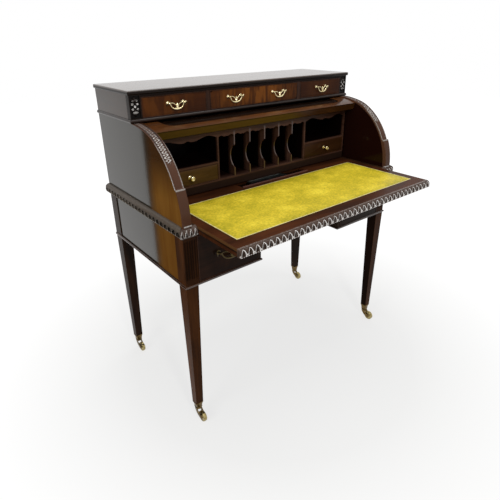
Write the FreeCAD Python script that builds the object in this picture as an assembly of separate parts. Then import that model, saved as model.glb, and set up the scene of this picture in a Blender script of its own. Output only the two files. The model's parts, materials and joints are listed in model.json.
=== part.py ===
"""Cylinder desk in carved mahogany on tapered legs with brass casters.

Millimetres, +Z up, the front towards -Y. The origin is on the floor under the middle of the whole
desk, with its writing slide pulled out and its cylinder rolled back, as it stands at rest.
"""
import FreeCAD
import Part
import math
import os

Vector = FreeCAD.Vector

# Case, from the floor up
case_width = 1000.0
case_depth = 532.0
cup_rim_height = 72.0
leg_length = 486.0
bead_height = 9.0
lower_case_height = 161.0
waist_height = 42.0
arch_set_back = 4.0
base_moulding_height = 11.0
top_case_height = 73.0
top_board_thickness = 13.0

# Mouldings: how far each stands out, and the flat lip beside its round
bead_projection = 4.0
bead_lip = 0.8
waist_projection = 17.5
waist_lip = 3.0
base_moulding_projection = 5.0
base_moulding_lip = 1.5
top_board_overhang = 5.0
top_board_round = 4.0
facing_thickness = 4.0

# Legs and casters
stile_width = 48.0
leg_top_width = 45.0
leg_foot_width = 28.0
leg_outer_taper = 6.0
foot_shoulder = 4.0
cup_depth = 18.0
cup_rim_overhang = 1.2
cup_rim_depth = 4.0
cup_floor = 8.0
swivel_radius = 4.5
swivel_length = 7.0
swivel_plate_radius = 12.0
swivel_plate_thickness = 4.0
swivel_gap = 0.3
caster_trail = 28.0
wheel_radius = 20.0
wheel_width = 14.0
wheel_round = 2.5
wheel_gap = 0.5
axle_radius = 2.5
fork_thickness = 3.0
fork_eye_radius = 8.0
fork_half_width = 9.0

# Boards of the case
cheek_thickness = 30.0
panel_thickness = 15.0
panel_recess = 3.0
back_thickness = 10.0
pedestal_width = 300.0
knee_side_thickness = 12.0
guide_strip_height = 23.0
slide_guide_width = 16.0
top_end_thickness = 18.0
carved_stile_width = 38.0
carved_stile_depth = 20.0
top_rail_height = 7.0
top_rail_depth = 20.0
partition_thickness = 14.0
centre_drawer_half_width = 208.0

# Writing slide
slide_thickness = 26.0
slide_top_thickness = 10.0
slide_drop = 5.0
slide_pull = 204.0
slide_rear_room = 4.0
slide_base_inset = 2.0
nosing_depth = 14.0
nosing_lip = 4.0
front_rail_width = 43.0
side_rail_width = 33.0
leather_thickness = 2.0
tray_left = -140.0
tray_right = 195.0
tray_front_rail = 20.0
tray_reveal = 45.0
tray_depth = 52.0
tray_floor = 2.0
tray_lip_width = 8.0
tray_lip_rise = 3.5
tray_divider_place = 95.0
tray_divider_thickness = 3.0

# Cylinder fall, with angles from the front horizontal, upwards
cylinder_gap = 4.0
cylinder_back_room = 6.0
cylinder_thickness = 28.0
cylinder_end_gap = 2.0
cylinder_open_angle = 70.0
cylinder_arc = 93.5
frame_relief = 4.0
cylinder_rail_angle = 5.5
cylinder_stile_width = 55.0
arm_thickness = 9.0
arm_width = 30.0
arm_hub_radius = 16.0
pivot_radius = 6.0
pivot_collar_radius = 11.0
pivot_seat_depth = 15.0
hub_room = 14.0

# Gallery of drawers and pigeonholes
gallery_end_gap = 2.0
gallery_fall_room = 4.0
gallery_set_back = 45.0
gallery_depth = 135.0
gallery_board = 6.0
plinth_height = 20.0
divider_thickness = 4.5
pigeonhole_count = 6
pigeonhole_pitch = 71.0
gallery_drawer_height = 60.0
valance_height = 15.0
valance_thickness = 6.0
side_bay_rise = 12.0
pigeonhole_rise = 4.5
scoop_depth = 26.0
scoop_rise = 30.0
scoop_drop = 50.0

# Half a valance's lower edge, in shares of its bay's width and of its rise
valance_shape = [(0, 0.1), (0.07, 0.66), (0.16, 1), (0.27, 0.6), (0.37, 0.06), (0.44, 0.03), (0.5, 0.45)]

# Drawers
drawer_front = 18.0
gallery_drawer_front = 9.0
drawer_side = 9.0
gallery_drawer_side = 5.0
drawer_bottom = 5.0
drawer_bottom_rise = 4.0
drawer_side_drop = 6.0
drawer_back_room = 12.0

# Brass: bail handles in two sizes and turned knobs
small_handle_spacing = 56.0
small_handle_drop = 20.0
small_post_length = 11.0
small_post_radius = 3.6
small_bail_radius = 1.7
small_pivot_above_centre = 5.0
large_handle_spacing = 88.0
large_handle_drop = 27.0
large_post_length = 14.0
large_post_radius = 4.6
large_bail_radius = 2.3
large_pivot_above_centre = 0.5
rosette_margin = 3.0
rosette_thickness = 1.6
strand_width = 4.0
strand_thickness = 2.4
bail_end_gap = 0.6
bail_bend = 5.0
bail_corner_share = 0.58
knob_radius = 9.0
knob_neck_radius = 3.0
knob_neck_length = 7.0
knob_plate_radius = 6.0
knob_plate_thickness = 1.5

# Clearances
running_clearance = 0.05
slide_clearance = 0.3
side_clearance = 0.5
drawer_clearance = 0.7

# The arch is as large as lets the fall roll back inside the case
arch_rear_room = back_thickness + cylinder_back_room - cylinder_gap
arch_radius = (case_depth - arch_set_back - arch_rear_room) / 2

# Heights worked out from the sizes above
bead_bottom = cup_rim_height + leg_length
bead_top = bead_bottom + bead_height
lower_case_top = bead_top + lower_case_height
waist_top = lower_case_top + waist_height
arch_top = waist_top + arch_radius
top_case_bottom = arch_top + base_moulding_height
top_case_top = top_case_bottom + top_case_height
slide_top = waist_top - slide_drop
slide_bottom = slide_top - slide_thickness
slide_base_top = slide_top - slide_top_thickness
deck_top = slide_bottom - slide_clearance

# Places across and along the desk
half_width = case_width / 2
case_back = (case_depth + slide_pull + nosing_depth) / 2
case_front = case_back - case_depth
axis_y = case_front + arch_set_back + arch_radius
axis_z = waist_top
top_front = axis_y
top_case_depth = case_back - top_front
cheek_inner = half_width - cheek_thickness
back_inner = case_back - back_thickness
stile_inner = half_width - stile_width
knee_half_width = half_width - pedestal_width
leg_centre_inset = leg_outer_taper + leg_foot_width / 2
cheek_radius = arch_radius - facing_thickness
cylinder_outer = arch_radius - cylinder_gap
cylinder_inner = cylinder_outer - cylinder_thickness
cylinder_half_width = cheek_inner - cylinder_end_gap
arm_outer = cylinder_half_width
arm_inner = arm_outer - arm_thickness
gallery_half_width = arm_inner - gallery_end_gap
gallery_front = axis_y - gallery_set_back
gallery_back = gallery_front + gallery_depth
gallery_reach = max(axis_y - gallery_front, gallery_back - axis_y)
gallery_height = math.sqrt((cylinder_inner - gallery_fall_room) ** 2 - gallery_reach ** 2)
gallery_bottom = waist_top
gallery_floor_top = gallery_bottom + 2 * gallery_board + plinth_height
gallery_top = gallery_bottom + gallery_height
gallery_ceiling = gallery_top - gallery_board
gallery_inner = gallery_half_width - gallery_board
gallery_partition = pigeonhole_count * pigeonhole_pitch / 2
shelf_bottom = gallery_floor_top + gallery_drawer_height
valance_bottom = gallery_ceiling - valance_height
slide_half_width = cheek_inner - slide_guide_width - side_clearance
slide_front = case_front - slide_pull
slide_rear = back_inner - slide_rear_room - slide_pull
tray_front = gallery_front - tray_reveal
tray_rear = tray_front + tray_depth
leather_front = slide_front + front_rail_width
leather_rear = tray_front - tray_front_rail
top_drawer_ceiling = top_case_top - top_rail_height
side_drawer_inner = centre_drawer_half_width + partition_thickness
side_drawer_outer = half_width - carved_stile_width


def box(x0, x1, y0, y1, z0, z1):
    """A board between two x, two y and two z planes, given in either order of x."""
    return Part.makeBox(abs(x1 - x0), y1 - y0, z1 - z0, Vector(min(x0, x1), y0, z0))


def line(start, end):
    return Part.LineSegment(start, end).toShape()


def arc(start, middle, end):
    return Part.Arc(start, middle, end).toShape()


def prism(points, direction):
    """A polygon pushed along a direction."""
    wire = Part.makePolygon(points + points[:1])
    return Part.Face(wire).extrude(direction)


def rod_x(radius, x0, x1, y, z):
    """A round bar along X."""
    return Part.makeCylinder(radius, x1 - x0, Vector(x0, y, z), Vector(1, 0, 0))


def arch_point(x, radius, angle):
    """The point at an angle on a circle about the cylinder's axis."""
    turn = math.radians(angle)
    return Vector(x, axis_y - radius * math.cos(turn), axis_z + radius * math.sin(turn))


def arch_sector(inner, outer, start, end, x0, x1):
    """A curved board about the cylinder's axis, between two radii and two angles."""
    middle = (start + end) / 2
    edges = [
        arc(arch_point(x0, inner, start), arch_point(x0, inner, middle), arch_point(x0, inner, end)),
        line(arch_point(x0, inner, end), arch_point(x0, outer, end)),
        arc(arch_point(x0, outer, end), arch_point(x0, outer, middle), arch_point(x0, outer, start)),
        line(arch_point(x0, outer, start), arch_point(x0, inner, start)),
    ]
    return Part.Face(Part.Wire(edges)).extrude(Vector(x1 - x0, 0, 0))


def moulding_run(start, end, start_mitre, end_mitre, projection, lip, bottom, top):
    """One straight length of rounded moulding on a wall from start to end, cut by its two mitres.

    The wall is on the right of the run. A mitre is the plan vector from the wall's corner to the
    moulding's outer corner, for a moulding that stands out by one millimetre.
    """
    along = (end - start).normalize()
    outward = Vector(-along.y, along.x, 0)
    middle = (bottom + top) / 2
    reach = 2 * projection
    first = start - along * reach

    def at(depth, height):
        return first + outward * depth + Vector(0, 0, height)

    edges = [
        line(at(0, top), at(0, bottom)),
        line(at(0, bottom), at(lip, bottom)),
        arc(at(lip, bottom), at(projection, middle), at(lip, top)),
        line(at(lip, top), at(0, top)),
    ]
    length = (end - start).Length + 2 * reach
    bar = Part.Face(Part.Wire(edges)).extrude(along * length)
    below = Vector(0, 0, bottom - reach)
    plan = [
        start - start_mitre * reach + below,
        end - end_mitre * reach + below,
        end + end_mitre * reach + below,
        start + start_mitre * reach + below,
    ]
    return bar.common(prism(plan, Vector(0, 0, top - bottom + 2 * reach))).Solids[0]


def mouldings(corners, projection, lip, bottom, top):
    """Mitred lengths of moulding along a wall through these plan corners, with square ends."""
    points = [Vector(x, y, 0) for x, y in corners]
    normals = []
    for start, end in zip(points, points[1:]):
        along = (end - start).normalize()
        normals.append(Vector(-along.y, along.x, 0))
    mitres = [normals[0]]
    for before, after in zip(normals, normals[1:]):
        mitres.append((before + after) * (1 / (1 + before.dot(after))))
    mitres.append(normals[-1])
    return [
        moulding_run(points[i], points[i + 1], mitres[i], mitres[i + 1], projection, lip, bottom, top)
        for i in range(len(normals))
    ]


def mirrored(shapes):
    """The same shapes on the other side of the desk."""
    return [shape.mirror(Vector(0, 0, 0), Vector(1, 0, 0)) for shape in shapes]


def both_sides(shapes):
    return shapes + mirrored(shapes)


def leg(side, end):
    """A square stile with a tapered shaft and the tenon that its brass cup takes.

    side is -1 at the left and 1 at the right, end is -1 at the front and 1 at the back.
    """
    corner_x = side * half_width
    corner_y = case_front if end < 0 else case_back

    def square(width, inset, z):
        xs = (corner_x - side * inset, corner_x - side * (inset + width))
        ys = (corner_y - end * inset, corner_y - end * (inset + width))
        points = [Vector(xs[0], ys[0], z), Vector(xs[1], ys[0], z)]
        points += [Vector(xs[1], ys[1], z), Vector(xs[0], ys[1], z)]
        return Part.makePolygon(points + points[:1])

    stile_height = bead_height + lower_case_height
    stile = Part.Face(square(stile_width, 0, bead_bottom)).extrude(Vector(0, 0, stile_height))
    foot = square(leg_foot_width, leg_outer_taper, cup_rim_height)
    shaft = Part.makeLoft([foot, square(leg_top_width, 0, bead_bottom)], True, True)
    tenon_width = leg_foot_width - 2 * foot_shoulder
    tenon = Part.Face(square(tenon_width, leg_outer_taper + foot_shoulder, cup_rim_height - cup_depth))
    return stile.fuse([shaft, tenon.extrude(Vector(0, 0, cup_depth))]).removeSplitter()


def leg_centre(side, end):
    y = case_front if end < 0 else case_back
    return side * (half_width - leg_centre_inset), y - end * leg_centre_inset


def caster_cup(side, end):
    """A brass socket on the foot, with the hole that its caster swivels in.

    Under its square rim it narrows from the foot's width to the tenon's.
    """
    x, y = leg_centre(side, end)
    foot = leg_foot_width / 2
    inner = foot - foot_shoulder
    rim = foot + cup_rim_overhang
    floor = cup_rim_height - cup_depth
    bottom = floor - cup_floor
    rim_bottom = cup_rim_height - cup_rim_depth

    def square(half, z):
        points = [Vector(x - half, y - half, z), Vector(x + half, y - half, z)]
        points += [Vector(x + half, y + half, z), Vector(x - half, y + half, z)]
        return Part.makePolygon(points + points[:1])

    body = Part.makeLoft([square(inner, bottom), square(foot, rim_bottom)], True, True)
    cup = body.fuse(box(x - rim, x + rim, y - rim, y + rim, rim_bottom, cup_rim_height))
    cup = cup.cut(box(x - inner, x + inner, y - inner, y + inner, floor, cup_rim_height))
    hole_depth = swivel_length + slide_clearance
    return cup.cut(Part.makeCylinder(swivel_radius + running_clearance, hole_depth, Vector(x, y, bottom)))


def caster_fork(side, end):
    """The swivelling fork of a caster, and the axle that its wheel turns on."""
    x, y = leg_centre(side, end)
    cup_bottom = cup_rim_height - cup_depth - cup_floor
    plate_top = cup_bottom - swivel_gap
    plate_bottom = plate_top - swivel_plate_thickness
    axle_y = y - caster_trail
    gap = wheel_width / 2 + wheel_gap
    outside = gap + fork_thickness
    plate = Part.makeCylinder(swivel_plate_radius, swivel_plate_thickness, Vector(x, y, plate_bottom))
    stem_length = swivel_gap + swivel_length
    stem = Part.makeCylinder(swivel_radius, stem_length, Vector(x, y, plate_top))
    horns = []
    for start in (x - outside, x + gap):
        outline = [
            Vector(start, y + fork_half_width, plate_top),
            Vector(start, y - fork_half_width, plate_top),
            Vector(start, axle_y - fork_eye_radius, wheel_radius),
            Vector(start, axle_y + fork_eye_radius, wheel_radius),
        ]
        horn = prism(outline, Vector(fork_thickness, 0, 0))
        horns.append(horn.fuse(rod_x(fork_eye_radius, start, start + fork_thickness, axle_y, wheel_radius)))
    axle = rod_x(axle_radius, x - outside, x + outside, axle_y, wheel_radius)
    fork = plate.fuse([stem] + horns).cut(axle).removeSplitter()
    return [fork, axle]


def caster_wheel(side, end):
    x, y = leg_centre(side, end)
    axle_y = y - caster_trail
    wheel = rod_x(wheel_radius, x - wheel_width / 2, x + wheel_width / 2, axle_y, wheel_radius)
    rims = [edge for edge in wheel.Edges if isinstance(edge.Curve, Part.Circle)]
    wheel = wheel.makeFillet(wheel_round, rims)
    bore = axle_radius + running_clearance
    return [wheel.cut(rod_x(bore, x - wheel_width, x + wheel_width, axle_y, wheel_radius))]


def bottom_board():
    """The left pedestal's floor, notched round its two stiles."""
    board = box(-half_width, -knee_half_width, case_front, back_inner, bead_bottom, bead_top)
    for front, back in ((case_front, case_front + stile_width), (case_back - stile_width, case_back)):
        board = board.cut(box(-half_width, -stile_inner, front, back, bead_bottom, bead_top))
    return board


def side_panel():
    outer = half_width - panel_recess
    front = case_front + stile_width
    back = case_back - stile_width
    return box(-outer, panel_thickness - outer, front, back, bead_top, lower_case_top)


def drawer_guide():
    """The strip that keeps a lower drawer in line between the stiles."""
    outer = half_width - panel_recess - panel_thickness
    front = case_front + stile_width
    back = case_back - stile_width
    return box(-outer, -stile_inner, front, back, bead_top, bead_top + guide_strip_height)


def knee_side():
    outer = knee_half_width + knee_side_thickness
    return box(-outer, -knee_half_width, case_front, back_inner, bead_top, lower_case_top)


def back_panels():
    """Three boards: between the back legs, behind the cylinder, and behind the top drawers."""
    top_half = half_width - top_end_thickness
    return [
        box(-stile_inner, stile_inner, back_inner, case_back, bead_bottom, lower_case_top),
        box(-cheek_inner, cheek_inner, back_inner, case_back, lower_case_top, arch_top),
        box(-top_half, top_half, back_inner, case_back, top_case_bottom, top_case_top),
    ]


def cheek():
    """The left cheek: a board with a quarter-round front edge and the seat of a pivot pin."""
    x = -half_width
    shoulder = arch_point(x, cheek_radius, 90)
    toe = arch_point(x, cheek_radius, 0)
    corners = [
        Vector(x, toe.y, lower_case_top),
        Vector(x, case_back, lower_case_top),
        Vector(x, case_back, arch_top),
        Vector(x, shoulder.y, arch_top),
    ]
    edges = [line(a, b) for a, b in zip(corners, corners[1:])]
    edges.append(line(corners[-1], shoulder))
    edges.append(arc(shoulder, arch_point(x, cheek_radius, 45), toe))
    edges.append(line(toe, corners[0]))
    board = Part.Face(Part.Wire(edges)).extrude(Vector(cheek_thickness, 0, 0))
    return board.cut(rod_x(pivot_radius, -cheek_inner - pivot_seat_depth, -cheek_inner, axis_y, axis_z))


def pivot_pin():
    """The left pin that the cylinder's arm hangs on, with its collar against the cheek."""
    pin = rod_x(pivot_radius, -cheek_inner - pivot_seat_depth, -arm_inner, axis_y, axis_z)
    collar_end = -arm_outer - slide_clearance
    return pin.fuse(rod_x(pivot_collar_radius, -cheek_inner, collar_end, axis_y, axis_z)).removeSplitter()


def slide_guides():
    """Strips between the slide and the left cheek, kept low where the cylinder's arm turns."""
    inner = slide_half_width + side_clearance
    hub_front = axis_y - arm_hub_radius - hub_room
    low_top = axis_z - arm_hub_radius - hub_room / 2
    return [
        box(-cheek_inner, -inner, case_front, hub_front, deck_top, slide_top),
        box(-cheek_inner, -inner, hub_front, back_inner, deck_top, low_top),
    ]


def waist_mouldings():
    corners = [
        (-slide_half_width - side_clearance, case_front),
        (-half_width, case_front),
        (-half_width, case_back),
    ]
    return mouldings(corners, waist_projection, waist_lip, lower_case_top, waist_top)


def waist_backing():
    """The block behind the left front return, under the cheek's toe."""
    toe = arch_point(0, cheek_radius, 0).y
    return box(-half_width, -cheek_inner, case_front, toe, lower_case_top, waist_top)


def bead_mouldings():
    corners = [
        (-knee_half_width, back_inner),
        (-knee_half_width, case_front),
        (-half_width, case_front),
        (-half_width, case_back),
    ]
    return mouldings(corners, bead_projection, bead_lip, bead_bottom, bead_top)


def base_mouldings():
    corners = [
        (half_width, case_back),
        (half_width, top_front),
        (-half_width, top_front),
        (-half_width, case_back),
    ]
    return mouldings(corners, base_moulding_projection, base_moulding_lip, arch_top, top_case_bottom)


def top_case_boards():
    """Floor, two ends and the rail over the drawers."""
    end_front = top_front + carved_stile_depth
    end_inner = half_width - top_end_thickness
    end = box(-half_width, -end_inner, end_front, case_back, top_case_bottom, top_case_top)
    floor = box(-half_width, half_width, top_front, case_back, arch_top, top_case_bottom)
    rail_back = top_front + top_rail_depth
    reach = side_drawer_outer
    rail = box(-reach, reach, top_front, rail_back, top_drawer_ceiling, top_case_top)
    return [floor, rail] + both_sides([end])


def carved_stile():
    back = top_front + carved_stile_depth
    return box(-half_width, -side_drawer_outer, top_front, back, top_case_bottom, top_case_top)


def drawer_partition():
    outer = side_drawer_inner
    inner = centre_drawer_half_width
    return box(-outer, -inner, top_front, back_inner, top_case_bottom, top_drawer_ceiling)


def top_board():
    """The flat top, rounded along its front and its two ends."""
    side = half_width + top_board_overhang
    front = top_front - top_board_overhang
    board = box(-side, side, front, case_back, top_case_top, top_case_top + top_board_thickness)
    rounded = []
    for edge in board.Edges:
        centre = edge.BoundBox.Center
        level = edge.BoundBox.ZLength < top_board_round
        if level and centre.y < case_back - top_board_round:
            rounded.append(edge)
    return board.makeFillet(top_board_round, rounded)


def slide_boards():
    """The slide's base, its field under the leather, and the rails that frame leather and tray."""
    half = slide_half_width
    base_half = half - slide_base_inset
    inner = half - side_rail_width
    field_top = slide_top - leather_thickness
    return [
        box(-base_half, base_half, slide_front, slide_rear, slide_bottom, slide_base_top),
        box(-inner, inner, leather_front, leather_rear, slide_base_top, field_top),
        box(-half, half, slide_front, leather_front, slide_base_top, slide_top),
        box(-half, -inner, leather_front, slide_rear, slide_base_top, slide_top),
        box(half, inner, leather_front, slide_rear, slide_base_top, slide_top),
        box(-inner, inner, leather_rear, tray_front, slide_base_top, slide_top),
        box(-inner, tray_left, tray_front, tray_rear, slide_base_top, slide_top),
        box(tray_right, inner, tray_front, tray_rear, slide_base_top, slide_top),
        box(-inner, inner, tray_rear, slide_rear, slide_base_top, slide_top),
    ]


def leather():
    inner = slide_half_width - side_rail_width
    return box(-inner, inner, leather_front, leather_rear, slide_top - leather_thickness, slide_top)


def slide_nosing():
    """The rounded edge that is carved along the slide's front."""
    half = slide_half_width
    corners = [(half, slide_front), (-half, slide_front)]
    return mouldings(corners, nosing_depth, nosing_lip, slide_bottom, slide_top)


def pen_tray():
    """A floor, a raised front lip and a divider between the pen trough and the ink place."""
    floor_top = slide_base_top + tray_floor
    lip_back = tray_front + tray_lip_width
    divider_end = tray_divider_place + tray_divider_thickness
    return [
        box(tray_left, tray_right, tray_front, tray_rear, slide_base_top, floor_top),
        box(tray_left, tray_right, tray_front, lip_back, floor_top, slide_top + tray_lip_rise),
        box(tray_divider_place, divider_end, lip_back, tray_rear, floor_top, slide_top),
    ]


def cylinder_panel():
    end = cylinder_open_angle + cylinder_arc
    outer = cylinder_outer - frame_relief
    half = cylinder_half_width
    return arch_sector(cylinder_inner, outer, cylinder_open_angle, end, -half, half)


def cylinder_frame():
    """Raised rails along the fall's two long edges and stiles at its two ends."""
    low = cylinder_open_angle
    high = low + cylinder_arc
    inner = cylinder_outer - frame_relief
    half = cylinder_half_width
    stile_start = low + cylinder_rail_angle
    stile_end = high - cylinder_rail_angle
    stile = arch_sector(inner, cylinder_outer, stile_start, stile_end, -half, cylinder_stile_width - half)
    return [
        arch_sector(inner, cylinder_outer, low, stile_start, -half, half),
        arch_sector(inner, cylinder_outer, stile_end, high, -half, half),
    ] + both_sides([stile])


def cylinder_arm():
    """The left arm, from its hub on the pivot pin to the inside of the fall."""
    middle = cylinder_open_angle + cylinder_arc / 2
    tip = arch_point(-arm_outer, cylinder_outer, middle)
    hub_point = Vector(-arm_outer, axis_y, axis_z)
    along = (tip - hub_point).normalize()
    across = Vector(0, -along.z, along.y) * (arm_width / 2)
    outline = [hub_point - across, tip - across, tip + across, hub_point + across]
    bar = prism(outline, Vector(arm_thickness, 0, 0))
    hub = rod_x(arm_hub_radius, -arm_outer, -arm_inner, axis_y, axis_z)
    arm = bar.common(rod_x(cylinder_inner, -arm_outer, -arm_inner, axis_y, axis_z)).fuse(hub)
    bore = pivot_radius + running_clearance
    return arm.cut(rod_x(bore, -arm_outer, -arm_inner, axis_y, axis_z)).removeSplitter()


def gallery_base():
    """The shelf that carries the gallery from the back, its plinth and the pigeonhole floor."""
    half = gallery_half_width
    shelf_top = gallery_bottom + gallery_board
    floor_bottom = gallery_floor_top - gallery_board
    plinth_back = gallery_front + gallery_board
    return [
        box(-half, half, gallery_front, back_inner, gallery_bottom, shelf_top),
        box(-half, half, gallery_front, plinth_back, shelf_top, floor_bottom),
        box(-half, half, gallery_back - gallery_board, gallery_back, shelf_top, floor_bottom),
        box(-half, half, gallery_front, gallery_back, floor_bottom, gallery_floor_top),
    ]


def gallery_case():
    """Two ends, a top and a back."""
    half = gallery_half_width
    back = gallery_back - gallery_board
    end = box(-half, -gallery_inner, gallery_front, gallery_back, gallery_floor_top, gallery_ceiling)
    top = box(-half, half, gallery_front, gallery_back, gallery_ceiling, gallery_top)
    panel = box(-gallery_inner, gallery_inner, back, gallery_back, gallery_floor_top, gallery_ceiling)
    return [top, panel] + both_sides([end])


def gallery_partition_and_shelf():
    """The left upright beside the pigeonholes, and the shelf over the left drawer."""
    back = gallery_back - gallery_board
    outer = gallery_partition + gallery_board / 2
    inner = gallery_partition - gallery_board / 2
    shelf_top = shelf_bottom + gallery_board
    return [
        box(-outer, -inner, gallery_front, back, gallery_floor_top, gallery_ceiling),
        box(-gallery_inner, -outer, gallery_front, back, shelf_bottom, shelf_top),
    ]


def pigeonhole_divider(x):
    """A thin upright whose front edge is cut to a deep round scoop."""
    left = x - divider_thickness / 2
    back = gallery_back - gallery_board
    low = gallery_floor_top + scoop_rise
    high = gallery_ceiling - scoop_drop
    scoop = arc(
        Vector(left, gallery_front, high),
        Vector(left, gallery_front + scoop_depth, (low + high) / 2),
        Vector(left, gallery_front, low),
    )
    corners = [
        Vector(left, gallery_front, low),
        Vector(left, gallery_front, gallery_floor_top),
        Vector(left, back, gallery_floor_top),
        Vector(left, back, gallery_ceiling),
        Vector(left, gallery_front, gallery_ceiling),
        Vector(left, gallery_front, high),
    ]
    edges = [line(a, b) for a, b in zip(corners, corners[1:])] + [scoop]
    return Part.Face(Part.Wire(edges)).extrude(Vector(divider_thickness, 0, 0))


def divider_places():
    first = pigeonhole_pitch - gallery_partition
    return [first + i * pigeonhole_pitch for i in range(pigeonhole_count - 1)]


def valance(x0, x1, rise):
    """A strip under the gallery's top, cut below to two arches that meet in two lobes and a notch."""
    y = gallery_front
    width = x1 - x0

    def half(start, step):
        points = []
        for across, up in valance_shape:
            points.append(Vector(start + across * step, y, valance_bottom + up * rise))
        curve = Part.BSplineCurve()
        curve.interpolate(points)
        return curve.toShape(), points[0]

    left, left_end = half(x0, width)
    right, right_end = half(x1, -width)
    edges = [
        left,
        right,
        line(right_end, Vector(x1, y, gallery_ceiling)),
        line(Vector(x1, y, gallery_ceiling), Vector(x0, y, gallery_ceiling)),
        line(Vector(x0, y, gallery_ceiling), left_end),
    ]
    return Part.Face(Part.Wire(edges)).extrude(Vector(0, valance_thickness, 0))


def valances():
    partition = gallery_partition
    sides = [-partition + gallery_board / 2]
    for x in divider_places():
        sides += [x - divider_thickness / 2, x + divider_thickness / 2]
    sides.append(partition - gallery_board / 2)
    pieces = [valance(x0, x1, pigeonhole_rise) for x0, x1 in zip(sides[::2], sides[1::2])]
    return pieces + both_sides([valance(-gallery_inner, -partition - gallery_board / 2, side_bay_rise)])


def drawer(x0, x1, front, depth, bottom, top, front_thickness, side_thickness):
    """A drawer that fills an opening less its clearances: a front, two sides, a back and a bottom."""
    left = x0 + drawer_clearance
    right = x1 - drawer_clearance
    low = bottom + slide_clearance
    high = top - drawer_clearance
    box_front = front + front_thickness
    rear = front + depth
    rear_inner = rear - side_thickness
    side_top = high - drawer_side_drop
    floor = low + drawer_bottom_rise
    floor_top = floor + drawer_bottom
    return [
        box(left, right, front, box_front, low, high),
        box(left, left + side_thickness, box_front, rear, low, side_top),
        box(right - side_thickness, right, box_front, rear, low, side_top),
        box(left + side_thickness, right - side_thickness, rear_inner, rear, floor_top, side_top),
        box(left + side_thickness, right - side_thickness, box_front, rear, floor, floor_top),
    ]


lower_drawer_depth = case_depth - back_thickness - drawer_back_room
top_drawer_depth = top_case_depth - back_thickness - drawer_back_room
gallery_drawer_depth = gallery_depth - gallery_board - drawer_back_room / 2


def lower_drawer(side):
    x0, x1 = sorted((side * stile_inner, side * (knee_half_width + knee_side_thickness)))
    sizes = (lower_drawer_depth, bead_top, lower_case_top, drawer_front, drawer_side)
    return drawer(x0, x1, case_front, *sizes)


def top_drawer(x0, x1):
    sizes = (top_drawer_depth, top_case_bottom, top_drawer_ceiling, drawer_front, drawer_side)
    return drawer(x0, x1, top_front, *sizes)


def gallery_drawer(side):
    x0, x1 = sorted((side * gallery_inner, side * (gallery_partition + gallery_board / 2)))
    heights = (gallery_floor_top, shelf_bottom)
    boards = (gallery_drawer_front, gallery_drawer_side)
    return drawer(x0, x1, gallery_front, gallery_drawer_depth, *heights, *boards)


def handle_posts(centre, face, pivot, spacing, post_length, post_radius, bail_radius):
    """Two brass posts on rosettes, with the scrolled strand that joins them on the drawer front."""
    tip = post_length + post_radius
    hole = bail_radius + running_clearance
    strand_bottom = pivot + hole
    outward = Vector(0, -1, 0)
    pieces = []
    for x in (centre - spacing / 2, centre + spacing / 2):
        seat = Vector(x, face, pivot)
        rosette = Part.makeCylinder(post_radius + rosette_margin, rosette_thickness, seat, outward)
        post = Part.makeCylinder(post_radius, tip, seat, outward)
        bore = rod_x(hole, x - post_radius, x + post_radius, face - post_length, pivot)
        pieces.append(post.fuse(rosette).cut(bore).removeSplitter())
    left = centre - spacing / 2
    right = centre + spacing / 2
    strand_top = strand_bottom + strand_width
    strand = box(left, right, face - strand_thickness, face, strand_bottom, strand_top)
    for piece in list(pieces):
        strand = strand.cut(piece)
    return pieces + strand.Solids


def bail(centre, face, pivot, spacing, post_length, post_radius, bail_radius, drop):
    """A bent brass rod that hangs between two posts, with a pin in each."""
    y = face - post_length
    shoulder = spacing / 2 - post_radius - bail_end_gap
    side = shoulder - bail_bend
    corner = (drop - bail_bend) * bail_corner_share
    quarter = math.sqrt(0.5)

    def at(x, z):
        return Vector(centre + x, y, pivot + z)

    def half(sign):
        pin_end = at(sign * spacing / 2, 0)
        bend_start = at(sign * shoulder, 0)
        bend_middle = at(sign * (side + bail_bend * (1 - quarter)), -bail_bend * (1 - quarter))
        bend_end = at(sign * side, -bail_bend)
        corner_start = at(sign * side, corner - drop)
        corner_middle = at(sign * (side - corner * (1 - quarter)), corner * (1 - quarter) - drop)
        corner_end = at(sign * (side - corner), -drop)
        return pin_end, bend_start, bend_middle, bend_end, corner_start, corner_middle, corner_end

    left = half(-1)
    right = half(1)
    edges = [
        line(left[0], left[1]),
        arc(left[1], left[2], left[3]),
        line(left[3], left[4]),
        arc(left[4], left[5], left[6]),
        line(left[6], right[6]),
        arc(right[6], right[5], right[4]),
        line(right[4], right[3]),
        arc(right[3], right[2], right[1]),
        line(right[1], right[0]),
    ]
    section = Part.Wire(Part.makeCircle(bail_radius, left[0], Vector(1, 0, 0)))
    return Part.Wire(edges).makePipeShell([section], True, False)


def knob(centre, face, height):
    """A turned brass knob on a thin plate."""
    outward = Vector(0, -1, 0)
    base = Vector(centre, face, height)
    plate = Part.makeCylinder(knob_plate_radius, knob_plate_thickness, base, outward)
    neck = Part.makeCylinder(knob_neck_radius, knob_neck_length, base, outward)
    ball_centre = base + outward * (knob_neck_length + knob_radius - knob_plate_thickness)
    return [plate.fuse([neck, Part.makeSphere(knob_radius, ball_centre)]).removeSplitter()]


small_handle = (small_handle_spacing, small_post_length, small_post_radius, small_bail_radius)
large_handle = (large_handle_spacing, large_post_length, large_post_radius, large_bail_radius)
top_drawer_middle = (top_case_bottom + top_drawer_ceiling) / 2
top_pivot = top_drawer_middle + small_pivot_above_centre
lower_pivot = (bead_top + lower_case_top) / 2 + large_pivot_above_centre
side_drawer_centre = (side_drawer_inner + side_drawer_outer) / 2
centre_handle_place = centre_drawer_half_width / 2
lower_drawer_centre = (stile_inner + knee_half_width + knee_side_thickness) / 2
gallery_drawer_centre = (gallery_inner + gallery_partition + gallery_board / 2) / 2
gallery_drawer_middle = (gallery_floor_top + shelf_bottom) / 2


def small_posts(centre):
    return handle_posts(centre, top_front, top_pivot, *small_handle)


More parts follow.
